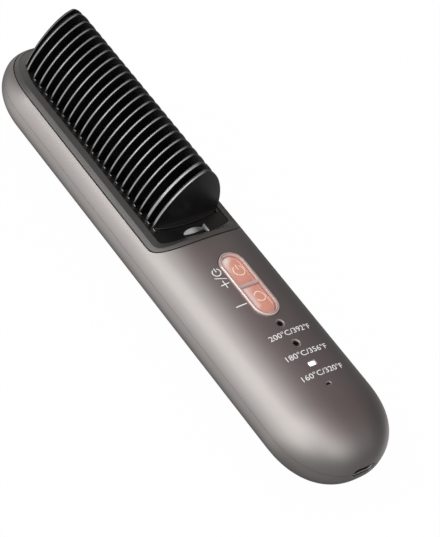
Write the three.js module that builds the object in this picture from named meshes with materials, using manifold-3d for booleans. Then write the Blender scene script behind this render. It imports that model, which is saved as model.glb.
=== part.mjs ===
// Cordless hair straightening brush: a heated comb of arched fins, framed in the head of a smooth handle.
// Millimetres. X runs from the head to the charging end, Y across and Z up from the flat of the back.

import * as THREE from 'three';
import { mergeVertices } from 'three/addons/utils/BufferGeometryUtils.js';
import Module from 'manifold-3d';

// Body form
const BODY_LENGTH = 205;
const BODY_WIDTH = 44.2;
const WIDEST_Z = 11.55;
const CROWN_RISE = 14.65;
const BACK_DEPTH = 11.85;
const HEAD_ROUND = 26.1;
const TAIL_ROUND = 25.1;
const CROWN_POWER = 2.44;
const BACK_POWER = 2.6;
const HEAD_PLAN_POWER = 2.22;
const HEAD_SIDE_POWER = 1.95;
const TAIL_PLAN_POWER = 2.25;
const TAIL_SIDE_POWER = 2.41;
const RING_STEPS = 48;
const END_STEPS = 9;
const HIDDEN_RING_STEPS = 32;
const HIDDEN_END_STEPS = 6;

// Shells
const WALL = 2;
const PARTING_GAP = 0.3;
const LIP_INSET = 1.25;
const LIP_HEIGHT = 1.3;
const LIP_ROOT = 0.8;
const LIP_CLEARANCE = 0.3;
const CUT_OVERRUN = 20;

// Bezel round the comb
const BEZEL_FROM_SIDE = 2.15;
const BEZEL_TAIL_X = 6.8;
const BEZEL_TAIL_ROUND = 9;
const BEZEL_TAIL_POWER = 3;
const BEZEL_TAIL_INSET_SHARE = 1.4;
const BEZEL_HEAD_TRIM = 1.8;
const BEZEL_HEAD_INSET = 2.2;
const BEZEL_HEAD_POWER = 2.29;
const BEZEL_GAP = 0.2;
const RIM_WIDTH = 1.2;
const RIM_STEP = 0.2;
const BAND_WIDTH = 2.9;
const BAND_DROP = 4.7;
const BAND_SINK = 0.9;
const BEZEL_DEPTH = 6;
const BEZEL_SKIRT = 0.5;
const OUTLINE_STEPS = 20;
const TAIL_OUTLINE_STEPS = 14;

// Tray under the fins
const TRAY_STEP = 0.3;
const TRAY_THICK = 3;
const TRAY_GAP = 0.2;
const SCOOP_HALF_LENGTH = 2.3;
const SCOOP_HALF_WIDTH = 5.2;
const SCOOP_HALF_HEIGHT = 1.5;
const SCOOP_RAISE = 0.6;
const SCOOP_FROM_FOOT = 1.2;
const SCOOP_Y = 0.2;
const CATCH_WIDTH = 0.7;
const CATCH_REACH = 2.7;
const CATCH_ROOT = 1.1;
const CATCH_Y = 4.75;
const CATCH_HEIGHT = 1.3;

// Comb fins
const FIN_COUNT = 22;
const FIN_SIDE_ROOM = 1.25;
const FIN_RISE = 23.7;
const FIN_LEG = 3.5;
const FIN_CROWN = 9.9;
const FIN_FOOT = 0.7;
const FIN_POWER = 1.58;
const FIN_THICK = 1.1;
const FIN_BEVEL = 0.25;
const END_FIN_THICK = 1.5;
const HEAD_FIN_THICK = 3.7;
const HEAD_FIN_PLATE = 0.9;
const HEAD_FIN_RIM = 1.1;
const HEAD_FIN_GROOVE = 2.2;
const HEAD_FIN_DRAFT = 1.2;
const HEAD_FIN_GAP = 3.2;
const HEAD_FIN_FROM_END = 12.36;
const HEAD_FIN_CLEARANCE = 0.3;
const TAIL_PAIR_PITCH = 3.5;
const PAIR_FROM_BANDS = 4.2;
const TAIL_FIN_FROM_BEZEL = 13.75;
const PLINTH_LENGTH = 2.3;
const PLINTH_HEIGHT = 0.8;
const NUB_LENGTH = 0.9;
const END_NUB_LENGTH = 1.3;
const NUB_WIDTH = 0.8;
const NUB_HEIGHT = 0.8;
const NUB_ROOT = 0.4;
const FIN_SEAT = 0.05;
const FIN_STEPS = 16;
const FIN_INNER_STEPS = 8;

// Heating core and what heats it
const CORE_CLEARANCE = 0.3;
const CORE_FLANGE = 3;
const CORE_FLANGE_THICK = 2;
const CORE_WALL = 5.7;
const HEATER_SLOT_DEPTH = 10.1;
const HEATER_HEIGHT = 6;
const HEATER_MARGIN = 3;
const WEDGE_CORNER = 0.8;
const SHIELD_THICK = 0.8;
const SHIELD_DEPTH = 1.8;
const SHIELD_SEAT = 0.1;
const SENSOR_RADIUS = 0.75;
const THERMISTOR_LENGTH = 6;
const FUSE_LENGTH = 11;
const POST_RADIUS = 2.4;
const POST_Y = 8;
const POST_FROM_END = 12;
const ROUND_STEPS = 16;

// Keys and their rim
const KEYS_FROM_BEZEL = 22.55;
const RIM_HALF_WIDTH = 5.2;
const RIM_LENGTH = 28.8;
const RIM_PROUD = 0.7;
const RIM_EDGE = 0.4;
const RIM_WALL = 1.05;
const RIM_GAP = 0.15;
const RIM_FLANGE = 1;
const RIM_FLANGE_THICK = 1;
const RIM_FLANGE_DROP = 0.6;
const DIVIDER_WIDTH = 0.9;
const KEY_CLEARANCE = 0.2;
const KEY_SINK = 0.3;
const KEY_EDGE = 0.8;
const KEY_FLANGE = 0.7;
const KEY_FLANGE_THICK = 0.8;
const KEY_TRAVEL = 0.6;
const KEY_STOP_GAP = 0.3;
const STEM_RADIUS = 1.1;
const STEM_ROOM = 0.65;
const CAPSULE_STEPS = 10;
const EDGE_STEPS = 2;

// Circuit board, switches and indicator windows
const BOARD_FROM_BEZEL = 3.7;
const BOARD_HALF_WIDTH = 10.5;
const BOARD_THICK = 1.2;
const SWITCH_SIDE = 5;
const SWITCH_HEIGHT = 1.6;
const SWITCH_BORE = 1.45;
const SWITCH_PRESS_GAP = 0.35;
const STACK_SEAT = 0.1;
const WINDOW_COUNT = 4;
const WINDOW_FROM_RIM = 3.75;
const WINDOW_FROM_TAIL = 2.75;
const WINDOW_RADIUS = 1.1;
const WINDOW_COUNTERSINK = 0.6;
const LOW_WINDOW_RADIUS = 0.8;
const LOW_WINDOW_REACH = 0.6;
const CHARGE_WINDOW_RADIUS = 0.45;
const CHARGE_WINDOW_REACH = 0.5;
const SLOT_COUNTERSINK = 0.2;
const PIPE_GAP = 0.15;
const PIPE_RECESS = 0.7;
const PIPE_FLANGE = 0.4;
const PIPE_FLANGE_THICK = 0.8;
const PIPE_LED_GAP = 0.5;
const LED_LENGTH = 1.6;
const LED_WIDTH = 0.8;
const LED_HEIGHT = 0.35;

// Cells and their cradle
const CELL_FLOOR_GAP = 0.75;
const CELL_BUTTON_RADIUS = 3;
const CELL_BUTTON_HEIGHT = 0.8;
const CELL_EDGE = 0.6;
const CELL_GAP = 0.3;
const WEB_THICK = 0.9;
const CRADLE_WALL = 1.6;
const CRADLE_CLEARANCE = 0.3;
const CRADLE_FROM_PORT = 4.7;

// Charging port
const PORT_ABOVE_WIDEST = 1.15;
const SOCKET_WIDTH = 8.94;
const SOCKET_HEIGHT = 3.26;
const SOCKET_LENGTH = 7.6;
const SOCKET_WALL = 0.3;
const SOCKET_RECESS = 0.9;
const PORT_CLEARANCE = 0.25;
const TONGUE_WIDTH = 6.65;
const TONGUE_THICK = 0.7;
const TONGUE_LENGTH = 4.45;
const TONGUE_BASE_LENGTH = 2.2;
const TONGUE_CLEARANCE = 0.05;
const CHARGE_BOARD_LENGTH = 14;
const CHARGE_BOARD_HALF_WIDTH = 7.5;
const CHARGE_BOARD_THICK = 1;
const CHARGE_BOARD_LAP = 4;

// Sizes and places that follow from those above
const HEAD_START_X = -BODY_LENGTH / 2 + HEAD_ROUND;
const TAIL_START_X = BODY_LENGTH / 2 - TAIL_ROUND;
const CROWN_Z = WIDEST_Z + CROWN_RISE;
const ABOVE_Z = CROWN_Z + CUT_OVERRUN;
const BELOW_Z = -CUT_OVERRUN;
const PORT_Z = WIDEST_Z + PORT_ABOVE_WIDEST;
const PARTING_Z = PORT_Z;
const LIP_TOP_Z = PARTING_Z + LIP_HEIGHT;

const BEZEL_HALF_WIDTH = BODY_WIDTH / 2 - BEZEL_FROM_SIDE;
const BEZEL_HEAD_LENGTH = HEAD_ROUND - BEZEL_HEAD_TRIM;
const BAND_LOW_Z = CROWN_Z - BAND_DROP;
const BAND_FOOT_X = BEZEL_TAIL_X - (RIM_WIDTH + BAND_WIDTH) * BEZEL_TAIL_INSET_SHARE;
const TRAY_INSET = RIM_WIDTH + BAND_WIDTH + TRAY_GAP;
const TRAY_TOP_Z = BAND_LOW_Z - TRAY_STEP;
const TRAY_BOTTOM_Z = TRAY_TOP_Z - TRAY_THICK;

const FIN_HALF_WIDTH = BEZEL_HALF_WIDTH - TRAY_INSET - FIN_SIDE_ROOM;
const FOOT_Z = TRAY_TOP_Z + FIN_FOOT;
const TAIL_FIN_X = BEZEL_TAIL_X - TAIL_FIN_FROM_BEZEL;
const SECOND_LAST_FIN_X = TAIL_FIN_X - TAIL_PAIR_PITCH;
const LAST_BAND_X = SECOND_LAST_FIN_X - PAIR_FROM_BANDS;
const HEAD_FIN_X = -BODY_LENGTH / 2 + HEAD_FIN_FROM_END + HEAD_FIN_THICK / 2;
const FIRST_BAND_X = HEAD_FIN_X + HEAD_FIN_THICK / 2 + HEAD_FIN_GAP + FIN_THICK / 2;
const FIN_PITCH = (LAST_BAND_X - FIRST_BAND_X) / (FIN_COUNT - 4);

const CORE_HALF_WIDTH = FIN_HALF_WIDTH - FIN_LEG - CORE_CLEARANCE;
const CORE_RISE = FIN_RISE - FIN_CROWN - CORE_CLEARANCE;
const CORE_START_X = HEAD_FIN_X + HEAD_FIN_THICK / 2 + CORE_CLEARANCE;
const CORE_END_X = TAIL_FIN_X - END_FIN_THICK / 2 - CORE_CLEARANCE;
const FLANGE_TOP_Z = TRAY_BOTTOM_Z - CORE_CLEARANCE;
const CORE_BOTTOM_Z = FLANGE_TOP_Z - CORE_FLANGE_THICK;
const SHIELD_TOP_Z = CORE_BOTTOM_Z - SHIELD_SEAT;
const SHIELD_BOTTOM_Z = SHIELD_TOP_Z - SHIELD_DEPTH - SHIELD_THICK;
const HEATER_SLOT_HALF = CORE_HALF_WIDTH - CORE_WALL;
const SENSOR_Y = (HEATER_SLOT_HALF + CORE_HALF_WIDTH + CORE_FLANGE) / 2;

const KEYS_X = BEZEL_TAIL_X + KEYS_FROM_BEZEL;
const RIM_TOP_Z = CROWN_Z + RIM_PROUD;
const RIM_FLANGE_TOP_Z = CROWN_Z - WALL - RIM_FLANGE_DROP;
const RIM_BOTTOM_Z = RIM_FLANGE_TOP_Z - RIM_FLANGE_THICK;
const KEY_FLANGE_TOP_Z = RIM_BOTTOM_Z - KEY_STOP_GAP;
const KEY_BOTTOM_Z = KEY_FLANGE_TOP_Z - KEY_FLANGE_THICK;
const SWITCH_TOP_Z = KEY_BOTTOM_Z - KEY_TRAVEL - SWITCH_PRESS_GAP;
const BOARD_TOP_Z = SWITCH_TOP_Z - SWITCH_HEIGHT - STACK_SEAT;
const BOARD_BOTTOM_Z = BOARD_TOP_Z - BOARD_THICK;
const STEM_BOTTOM_Z = BOARD_TOP_Z + KEY_TRAVEL + STEM_ROOM;
const WINDOW_START_X = KEYS_X + RIM_LENGTH / 2 + WINDOW_FROM_RIM;
const WINDOW_PITCH = (TAIL_START_X - WINDOW_FROM_TAIL - WINDOW_START_X) / (WINDOW_COUNT - 1);

const SOCKET_MOUTH_X = BODY_LENGTH / 2 - SOCKET_RECESS;
const SOCKET_BACK_X = SOCKET_MOUTH_X - SOCKET_LENGTH;
const CHARGE_BOARD_TOP_Z = PORT_Z - SOCKET_HEIGHT / 2 - STACK_SEAT;
const CHARGE_BOARD_END_X = SOCKET_BACK_X + CHARGE_BOARD_LAP;
const CHARGE_BOARD_START_X = CHARGE_BOARD_END_X - CHARGE_BOARD_LENGTH;

const CRADLE_START_X = BEZEL_TAIL_X + BOARD_FROM_BEZEL;
const CRADLE_END_X = CHARGE_BOARD_START_X - CRADLE_FROM_PORT;
const CRADLE_TOP_Z = BOARD_BOTTOM_Z - STACK_SEAT;
const CELLS_START_X = CRADLE_START_X + CRADLE_WALL + CELL_GAP;
const CELL_LENGTH = CRADLE_END_X - CRADLE_WALL - CELL_GAP - CELLS_START_X;
const CELL_RADIUS = (CRADLE_TOP_Z - CELL_GAP - CELL_FLOOR_GAP - WALL) / 2;
const CELL_Z = WALL + CELL_FLOOR_GAP + CELL_RADIUS;
const CELL_Y = WEB_THICK / 2 + CELL_GAP + CELL_RADIUS;

const WELD_DISTANCE = 1e-3;
const wasm = await Module();
wasm.setup();

// Materials

const finishes = {
  satin_body: { color: 0x8c817d, roughness: 0.34, metalness: 0.75 },
  bezel: { color: 0x4b4847, roughness: 0.45, metalness: 0.2 },
  black_plastic: { color: 0x141414, roughness: 0.5, metalness: 0 },
  fin_plastic: { color: 0x1b1a1a, roughness: 0.38, metalness: 0 },
  coated_aluminium: { color: 0x222222, roughness: 0.4, metalness: 0.6 },
  ceramic: { color: 0xe6e2d8, roughness: 0.7, metalness: 0 },
  white_plastic: { color: 0xd8d6d0, roughness: 0.6, metalness: 0 },
  key_metallic: { color: 0xd4907c, roughness: 0.25, metalness: 0.6 },
  rim_clear: { color: 0xe2b7aa, roughness: 0.15, metalness: 0.1 },
  board: { color: 0x1e5a38, roughness: 0.5, metalness: 0.1 },
  cell_wrap: { color: 0x2c6db0, roughness: 0.4, metalness: 0.1 },
  steel: { color: 0xc4c6c8, roughness: 0.25, metalness: 0.9 },
  light_pipe: { color: 0xeef0f0, roughness: 0.2, metalness: 0 },
};

const object = new THREE.Group();

function addPiece(name, geometry, finish) {
  geometry.computeVertexNormals();
  const mesh = new THREE.Mesh(geometry, new THREE.MeshStandardMaterial(finishes[finish]));
  mesh.name = name;
  object.add(mesh);
}

// Solids: joining, cutting and the shapes they start from

function toSolid(geometry) {
  const bare = geometry.clone();
  bare.deleteAttribute('normal');
  bare.deleteAttribute('uv');
  const welded = mergeVertices(bare, WELD_DISTANCE);
  const triVerts = new Uint32Array(welded.index.array);
  const vertProperties = new Float32Array(welded.attributes.position.array);
  return new wasm.Manifold(new wasm.Mesh({ numProp: 3, vertProperties, triVerts }));
}

function toGeometry(solid) {
  const mesh = solid.getMesh();
  const geometry = new THREE.BufferGeometry();
  geometry.setAttribute('position', new THREE.BufferAttribute(mesh.vertProperties, mesh.numProp));
  geometry.setIndex(new THREE.BufferAttribute(mesh.triVerts, 1));
  return geometry;
}

function signedVolume(points, index) {
  let sum = 0;
  for (let k = 0; k < index.length; k += 3) {
    const [a, b, c] = [points[index[k]], points[index[k + 1]], points[index[k + 2]]];
    sum += a.dot(b.clone().cross(c));
  }
  return sum;
}

// A closed skin through rings of points; a ring of one point closes to a tip, any other end is capped flat.
function loft(rings) {
  const points = rings.flat();
  const index = [];
  let start = 0;
  for (let k = 0; k + 1 < rings.length; k += 1) {
    const [count, nextCount] = [rings[k].length, rings[k + 1].length];
    const next = start + count;
    for (let i = 0; i < Math.max(count, nextCount); i += 1) {
      const j = (i + 1) % Math.max(count, nextCount);
      if (nextCount > 1) index.push(start + (i % count), next + i, next + j);
      if (count > 1) index.push(start + i, next + (j % nextCount), start + j);
    }
    start = next;
  }
  for (let i = 1; i + 1 < rings[0].length; i += 1) index.push(0, i, i + 1);
  for (let i = 1; i + 1 < rings.at(-1).length; i += 1) index.push(start, start + i + 1, start + i);
  if (signedVolume(points, index) < 0) index.reverse();
  const geometry = new THREE.BufferGeometry().setFromPoints(points);
  geometry.setIndex(index);
  return geometry;
}

function ringAt(outline, z) {
  return outline.map((p) => new THREE.Vector3(p.x, p.y, typeof z === 'function' ? z(p.x, p.y) : z));
}

// An upright prism over a plan outline.
function uprightPrism(outline, lowZ, highZ) {
  return loft([ringAt(outline, lowZ), ringAt(outline, highZ)]);
}

// A prism along X from a section drawn in Y and Z, with both ends bevelled where a bevel is given.
function lengthwisePrism(section, startX, endX, bevel = 0) {
  const geometry = new THREE.ExtrudeGeometry(new THREE.Shape(section), {
    depth: endX - startX - 2 * bevel,
    bevelEnabled: bevel > 0,
    bevelSegments: 1,
    bevelThickness: bevel,
    bevelSize: bevel,
    bevelOffset: -bevel,
  });
  const axes = [new THREE.Vector3(0, 1, 0), new THREE.Vector3(0, 0, 1), new THREE.Vector3(1, 0, 0)];
  geometry.applyMatrix4(new THREE.Matrix4().makeBasis(...axes));
  geometry.translate(startX + bevel, 0, 0);
  return geometry;
}

function block(low, high) {
  const size = high.clone().sub(low);
  const geometry = new THREE.BoxGeometry(size.x, size.y, size.z);
  const centre = low.clone().add(high).divideScalar(2);
  geometry.translate(centre.x, centre.y, centre.z);
  return geometry;
}

function slab(lowZ, highZ) {
  const reach = BODY_LENGTH;
  return toSolid(block(new THREE.Vector3(-reach, -reach, lowZ), new THREE.Vector3(reach, reach, highZ)));
}

function uprightCylinder(x, y, radius, lowZ, highZ) {
  const geometry = new THREE.CylinderGeometry(radius, radius, highZ - lowZ, ROUND_STEPS);
  geometry.rotateX(Math.PI / 2);
  geometry.translate(x, y, (lowZ + highZ) / 2);
  return geometry;
}

// A capsule outline with its length along X; shrink moves it inwards.
function capsuleOutline(centre, length, halfWidth, shrink) {
  const radius = halfWidth - shrink;
  const reach = length / 2 - halfWidth;
  const outline = [];
  for (const side of [1, -1]) {
    for (let k = 0; k <= CAPSULE_STEPS; k += 1) {
      const turn = -Math.PI / 2 + (Math.PI * k) / CAPSULE_STEPS;
      const [along, across] = [reach + radius * Math.cos(turn), radius * Math.sin(turn)];
      outline.push(new THREE.Vector2(centre.x + side * along, centre.y + side * across));
    }
  }
  return outline;
}

// Body form: superelliptic sections whose width and height close in at both ends

function endShare(run, power) {
  return Math.max(1 - run ** power, 0) ** (1 / power);
}

function section(x, inset) {
  const head = x < HEAD_START_X;
  const round = (head ? HEAD_ROUND : TAIL_ROUND) - inset;
  const run = Math.max(HEAD_START_X - x, x - TAIL_START_X, 0) / round;
  const planShare = endShare(run, head ? HEAD_PLAN_POWER : TAIL_PLAN_POWER);
  const sideShare = endShare(run, head ? HEAD_SIDE_POWER : TAIL_SIDE_POWER);
  return {
    halfWidth: (BODY_WIDTH / 2 - inset) * planShare,
    rise: (CROWN_RISE - inset) * sideShare,
    depth: (BACK_DEPTH - inset) * sideShare,
  };
}

function crownHeight(x, y) {
  const { halfWidth, rise } = section(x, 0);
  return WIDEST_Z + rise * endShare(Math.min(Math.abs(y) / halfWidth, 1), CROWN_POWER);
}

function bodyRing(x, inset, steps) {
  const { halfWidth, rise, depth } = section(x, inset);
  const ring = [];
  for (let k = 0; k < steps; k += 1) {
    const turn = (2 * Math.PI * k) / steps;
    const [cosine, sine] = [Math.cos(turn), Math.sin(turn)];
    const share = 2 / (sine < 0 ? BACK_POWER : CROWN_POWER);
    const y = halfWidth * Math.sign(cosine) * Math.abs(cosine) ** share;
    const z = WIDEST_Z + (sine < 0 ? -depth : rise) * Math.abs(sine) ** share;
    ring.push(new THREE.Vector3(x, y, Math.max(z, inset)));
  }
  return ring;
}

function bodySolid(inset, ringSteps, endSteps) {
  const rings = [];
  for (let k = endSteps - 1; k >= 0; k -= 1) {
    const reach = (HEAD_ROUND - inset) * Math.sin((Math.PI / 2) * (k / endSteps));
    rings.push(bodyRing(HEAD_START_X - reach, inset, ringSteps));
  }
  for (let k = 0; k < endSteps; k += 1) {
    const reach = (TAIL_ROUND - inset) * Math.sin((Math.PI / 2) * (k / endSteps));
    rings.push(bodyRing(TAIL_START_X + reach, inset, ringSteps));
  }
  const headTip = new THREE.Vector3(-BODY_LENGTH / 2 + inset, 0, WIDEST_Z);
  const tailTip = new THREE.Vector3(BODY_LENGTH / 2 - inset, 0, WIDEST_Z);
  return toSolid(loft([[headTip], ...rings, [tailTip]]));
}

function hiddenBody(inset) {
  return bodySolid(inset, HIDDEN_RING_STEPS, HIDDEN_END_STEPS);
}

const outerBody = bodySolid(0, RING_STEPS, END_STEPS);
const innerBody = hiddenBody(WALL);

// Bezel outline in plan: superelliptic at both ends, and squarer at the handle where inset moves it inwards

function bezelOutline(inset) {
  const headX = -BODY_LENGTH / 2 + BEZEL_HEAD_INSET;
  const startX = headX + BEZEL_HEAD_LENGTH;
  const [length, halfWidth] = [BEZEL_HEAD_LENGTH - inset, BEZEL_HALF_WIDTH - inset];
  const outline = [];
  for (let k = 0; k <= OUTLINE_STEPS; k += 1) {
    const turn = Math.PI / 2 + (Math.PI * k) / OUTLINE_STEPS;
    const [cosine, sine] = [Math.cos(turn), Math.sin(turn)];
    const share = 2 / BEZEL_HEAD_POWER;
    const x = startX - length * Math.abs(cosine) ** share;
    outline.push(new THREE.Vector2(x, halfWidth * Math.sign(sine) * Math.abs(sine) ** share));
  }
  const tailShare = 2 / (BEZEL_TAIL_POWER * (1 + inset / BEZEL_TAIL_ROUND));
  const tailLength = BEZEL_TAIL_ROUND - inset * BEZEL_TAIL_INSET_SHARE;
  for (let k = 0; k <= TAIL_OUTLINE_STEPS; k += 1) {
    const turn = -Math.PI / 2 + (Math.PI * k) / TAIL_OUTLINE_STEPS;
    const [cosine, sine] = [Math.cos(turn), Math.sin(turn)];
    const x = BEZEL_TAIL_X - BEZEL_TAIL_ROUND + tailLength * Math.abs(cosine) ** tailShare;
    outline.push(new THREE.Vector2(x, halfWidth * Math.sign(sine) * Math.abs(sine) ** tailShare));
  }
  return outline;
}

// Indicator windows along the handle

const windowForms = [
  { name: 'high', radius: WINDOW_RADIUS, reach: 0, sink: WINDOW_COUNTERSINK },
  { name: 'medium', radius: WINDOW_RADIUS, reach: 0, sink: WINDOW_COUNTERSINK },
  { name: 'low', radius: LOW_WINDOW_RADIUS, reach: LOW_WINDOW_REACH, sink: SLOT_COUNTERSINK },
  { name: 'charge', radius: CHARGE_WINDOW_RADIUS, reach: CHARGE_WINDOW_REACH, sink: SLOT_COUNTERSINK },
].slice(0, WINDOW_COUNT);
const windows = windowForms.map((form, k) => ({ ...form, x: WINDOW_START_X + k * WINDOW_PITCH }));

// A round outline, drawn out across the handle where it has a reach.
function windowOutline({ x, radius, reach }, grow) {
  const outline = [];
  for (const side of [1, -1]) {
    for (let k = 0; k <= ROUND_STEPS / 2; k += 1) {
      const turn = (Math.PI * k) / (ROUND_STEPS / 2);
      const [along, across] = [(radius + grow) * Math.cos(turn), reach + (radius + grow) * Math.sin(turn)];
      outline.push(new THREE.Vector2(x + side * along, side * across));
    }
  }
  return outline;
}

function windowCutter(window) {
  return toSolid(closed(loft([
    ringAt(windowOutline(window, 0), CROWN_Z - WALL - CUT_OVERRUN),
    ringAt(windowOutline(window, 0), CROWN_Z - window.sink),
    ringAt(windowOutline(window, window.sink), CROWN_Z),
    ringAt(windowOutline(window, window.sink), ABOVE_Z),
  ])));
}

// Welds a skin and turns it face outwards.
function closed(geometry) {
  const welded = mergeVertices(geometry, WELD_DISTANCE);
  const index = [];
  const source = welded.index.array;
  for (let k = 0; k < source.length; k += 3) {
    const [a, b, c] = [source[k], source[k + 1], source[k + 2]];
    if (a !== b && b !== c && c !== a) index.push(a, b, c);
  }
  const points = [];
  for (let k = 0; k < welded.attributes.position.count; k += 1) {
    points.push(new THREE.Vector3().fromBufferAttribute(welded.attributes.position, k));
  }
  if (signedVolume(points, index) < 0) index.reverse();
  welded.setIndex(index);
  return welded;
}

// Shells

function socketSection(grow) {
  const height = SOCKET_HEIGHT / 2 + grow;
  const centre = new THREE.Vector2(0, PORT_Z);
  return capsuleOutline(centre, SOCKET_WIDTH + 2 * grow, height, 0);
}

function portCutter() {
  return toSolid(lengthwisePrism(socketSection(PORT_CLEARANCE), CHARGE_BOARD_START_X, BODY_LENGTH));
}

function keyCentre() {
  return new THREE.Vector2(KEYS_X, 0);
}

function upperShell() {
  const rebate = hiddenBody(LIP_INSET - LIP_CLEARANCE).intersect(slab(BELOW_Z, LIP_TOP_Z + LIP_CLEARANCE));
  const keyHole = capsuleOutline(keyCentre(), RIM_LENGTH, RIM_HALF_WIDTH, -RIM_GAP);
  let shell = outerBody.intersect(slab(PARTING_Z + PARTING_GAP / 2, ABOVE_Z));
  shell = shell.subtract(innerBody).subtract(rebate);
  shell = shell.subtract(toSolid(uprightPrism(bezelOutline(0), PARTING_Z, ABOVE_Z)));
  shell = shell.subtract(toSolid(uprightPrism(keyHole, PARTING_Z, ABOVE_Z)));
  for (const window of windows) shell = shell.subtract(windowCutter(window));
  return shell.subtract(portCutter());
}

function supportPosts() {
  const posts = [];
  for (const x of [CORE_START_X + POST_FROM_END, CORE_END_X - POST_FROM_END]) {
    for (const y of [-POST_Y, POST_Y]) {
      posts.push(uprightCylinder(x, y, POST_RADIUS, 0, SHIELD_BOTTOM_Z - STACK_SEAT));
    }
  }
  for (const y of [-CHARGE_BOARD_HALF_WIDTH + POST_RADIUS, CHARGE_BOARD_HALF_WIDTH - POST_RADIUS]) {
    const x = (CHARGE_BOARD_START_X + CHARGE_BOARD_END_X) / 2;
    const topZ = CHARGE_BOARD_TOP_Z - CHARGE_BOARD_THICK - STACK_SEAT;
    posts.push(uprightCylinder(x, y, POST_RADIUS, 0, topZ));
  }
  return posts;
}

function backShell() {
  const lip = hiddenBody(LIP_INSET).intersect(slab(PARTING_Z - LIP_ROOT, LIP_TOP_Z));
  let shell = outerBody.intersect(slab(BELOW_Z, PARTING_Z - PARTING_GAP / 2)).add(lip).subtract(innerBody);
  const postRoom = hiddenBody(WALL / 2);
  for (const post of supportPosts()) shell = shell.add(toSolid(post).intersect(postRoom));
  return shell.subtract(portCutter());
}

// Bezel: a ring that follows the crown; its band slopes down to the tray, with a catch beside the scoop

// The scoop runs across the tray's end into the foot of the band.
function scoop() {
  const geometry = new THREE.SphereGeometry(1, ROUND_STEPS, ROUND_STEPS / 2);
  geometry.scale(SCOOP_HALF_LENGTH, SCOOP_HALF_WIDTH, SCOOP_HALF_HEIGHT);
  geometry.translate(BAND_FOOT_X - SCOOP_FROM_FOOT, SCOOP_Y, TRAY_TOP_Z + SCOOP_RAISE);
  return toSolid(geometry);
}

function bandCutter() {
  const sink = (x, y) => Math.min(BAND_LOW_Z, crownHeight(x, y) - BAND_SINK);
  const step = (x, y) => crownHeight(x, y) - RIM_STEP;
  const lowOutline = bezelOutline(RIM_WIDTH + BAND_WIDTH);
  const highOutline = bezelOutline(RIM_WIDTH);
  const rings = [ringAt(lowOutline, BELOW_Z), ringAt(lowOutline, sink), ringAt(highOutline, step)];
  return toSolid(loft([...rings, ringAt(highOutline, ABOVE_Z)]));
}

function bezel() {
  const lowZ = LIP_TOP_Z + BEZEL_SKIRT;
  let ring = toSolid(uprightPrism(bezelOutline(BEZEL_GAP), lowZ, ABOVE_Z)).intersect(outerBody);
  ring = ring.subtract(outerBody.translate(0, 0, -BEZEL_DEPTH)).subtract(bandCutter()).subtract(scoop());
  const startX = BAND_FOOT_X - CATCH_REACH;
  const low = new THREE.Vector3(startX, CATCH_Y - CATCH_WIDTH / 2, TRAY_TOP_Z + TRAY_GAP);
  const high = new THREE.Vector3(
    BAND_FOOT_X + CATCH_ROOT,
    CATCH_Y + CATCH_WIDTH / 2,
    TRAY_TOP_Z + CATCH_HEIGHT,
  );
  return ring.add(toSolid(block(low, high)));
}

const bezelRing = bezel();

// Tray: floor of the comb's recess, open where the heating core passes through

function tray() {
  const plate = toSolid(uprightPrism(bezelOutline(TRAY_INSET), TRAY_BOTTOM_Z, TRAY_TOP_Z));
  const sunkBody = outerBody.translate(0, 0, -BAND_SINK - TRAY_STEP);
  const reach = CORE_HALF_WIDTH + CORE_CLEARANCE;
  const low = new THREE.Vector3(CORE_START_X - CORE_CLEARANCE, -reach, BELOW_Z);
  const high = new THREE.Vector3(CORE_END_X + CORE_CLEARANCE, reach, ABOVE_Z);
  return plate.intersect(sunkBody).subtract(toSolid(block(low, high))).subtract(scoop());
}

// Comb: arched fins astride the core, between a drafted head fin and a closed tail fin

function archPoints(halfWidth, rise, steps) {
  const share = 2 / FIN_POWER;
  const points = [];
  for (let k = 0; k <= steps; k += 1) {
    const turn = Math.PI * (1 - k / steps);
    const y = halfWidth * Math.sign(Math.cos(turn)) * Math.abs(Math.cos(turn)) ** share;
    points.push(new THREE.Vector2(y, FOOT_Z + rise * Math.sin(turn) ** share));
  }
  points[0].y = FOOT_Z;
  points.at(-1).y = FOOT_Z;
  return points;
}

function footedArch(halfWidth, rise, steps, footZ) {
  const left = new THREE.Vector2(-halfWidth, footZ);
  const right = new THREE.Vector2(halfWidth, footZ);
  return [left, ...archPoints(halfWidth, rise, steps), right];
}

function finBand() {
  const footZ = TRAY_TOP_Z + FIN_SEAT;
  const outer = footedArch(FIN_HALF_WIDTH, FIN_RISE, FIN_STEPS, footZ);
  const innerHalf = CORE_HALF_WIDTH + CORE_CLEARANCE;
  const inner = footedArch(innerHalf, CORE_RISE + CORE_CLEARANCE, FIN_INNER_STEPS, footZ);
  return [...outer, ...inner.reverse()];
}

// The stations of a plate across X, with a bevel round its rim; each draws its rim in by its shrink.
function plateStations(startX, endX, halfWidth) {
  return [
    { x: startX, halfWidth, shrink: FIN_BEVEL },
    { x: startX + FIN_BEVEL, halfWidth, shrink: 0 },
    { x: endX - FIN_BEVEL, halfWidth, shrink: 0 },
    { x: endX, halfWidth, shrink: FIN_BEVEL },
  ];
}

function closedFin(stations) {
  return loft(stations.map(({ x, halfWidth, shrink }) => {
    const outline = footedArch(halfWidth - shrink, FIN_RISE - shrink, FIN_STEPS, TRAY_TOP_Z + FIN_SEAT);
    return outline.map((p) => new THREE.Vector3(x, p.x, p.y));
  }));
}

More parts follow.
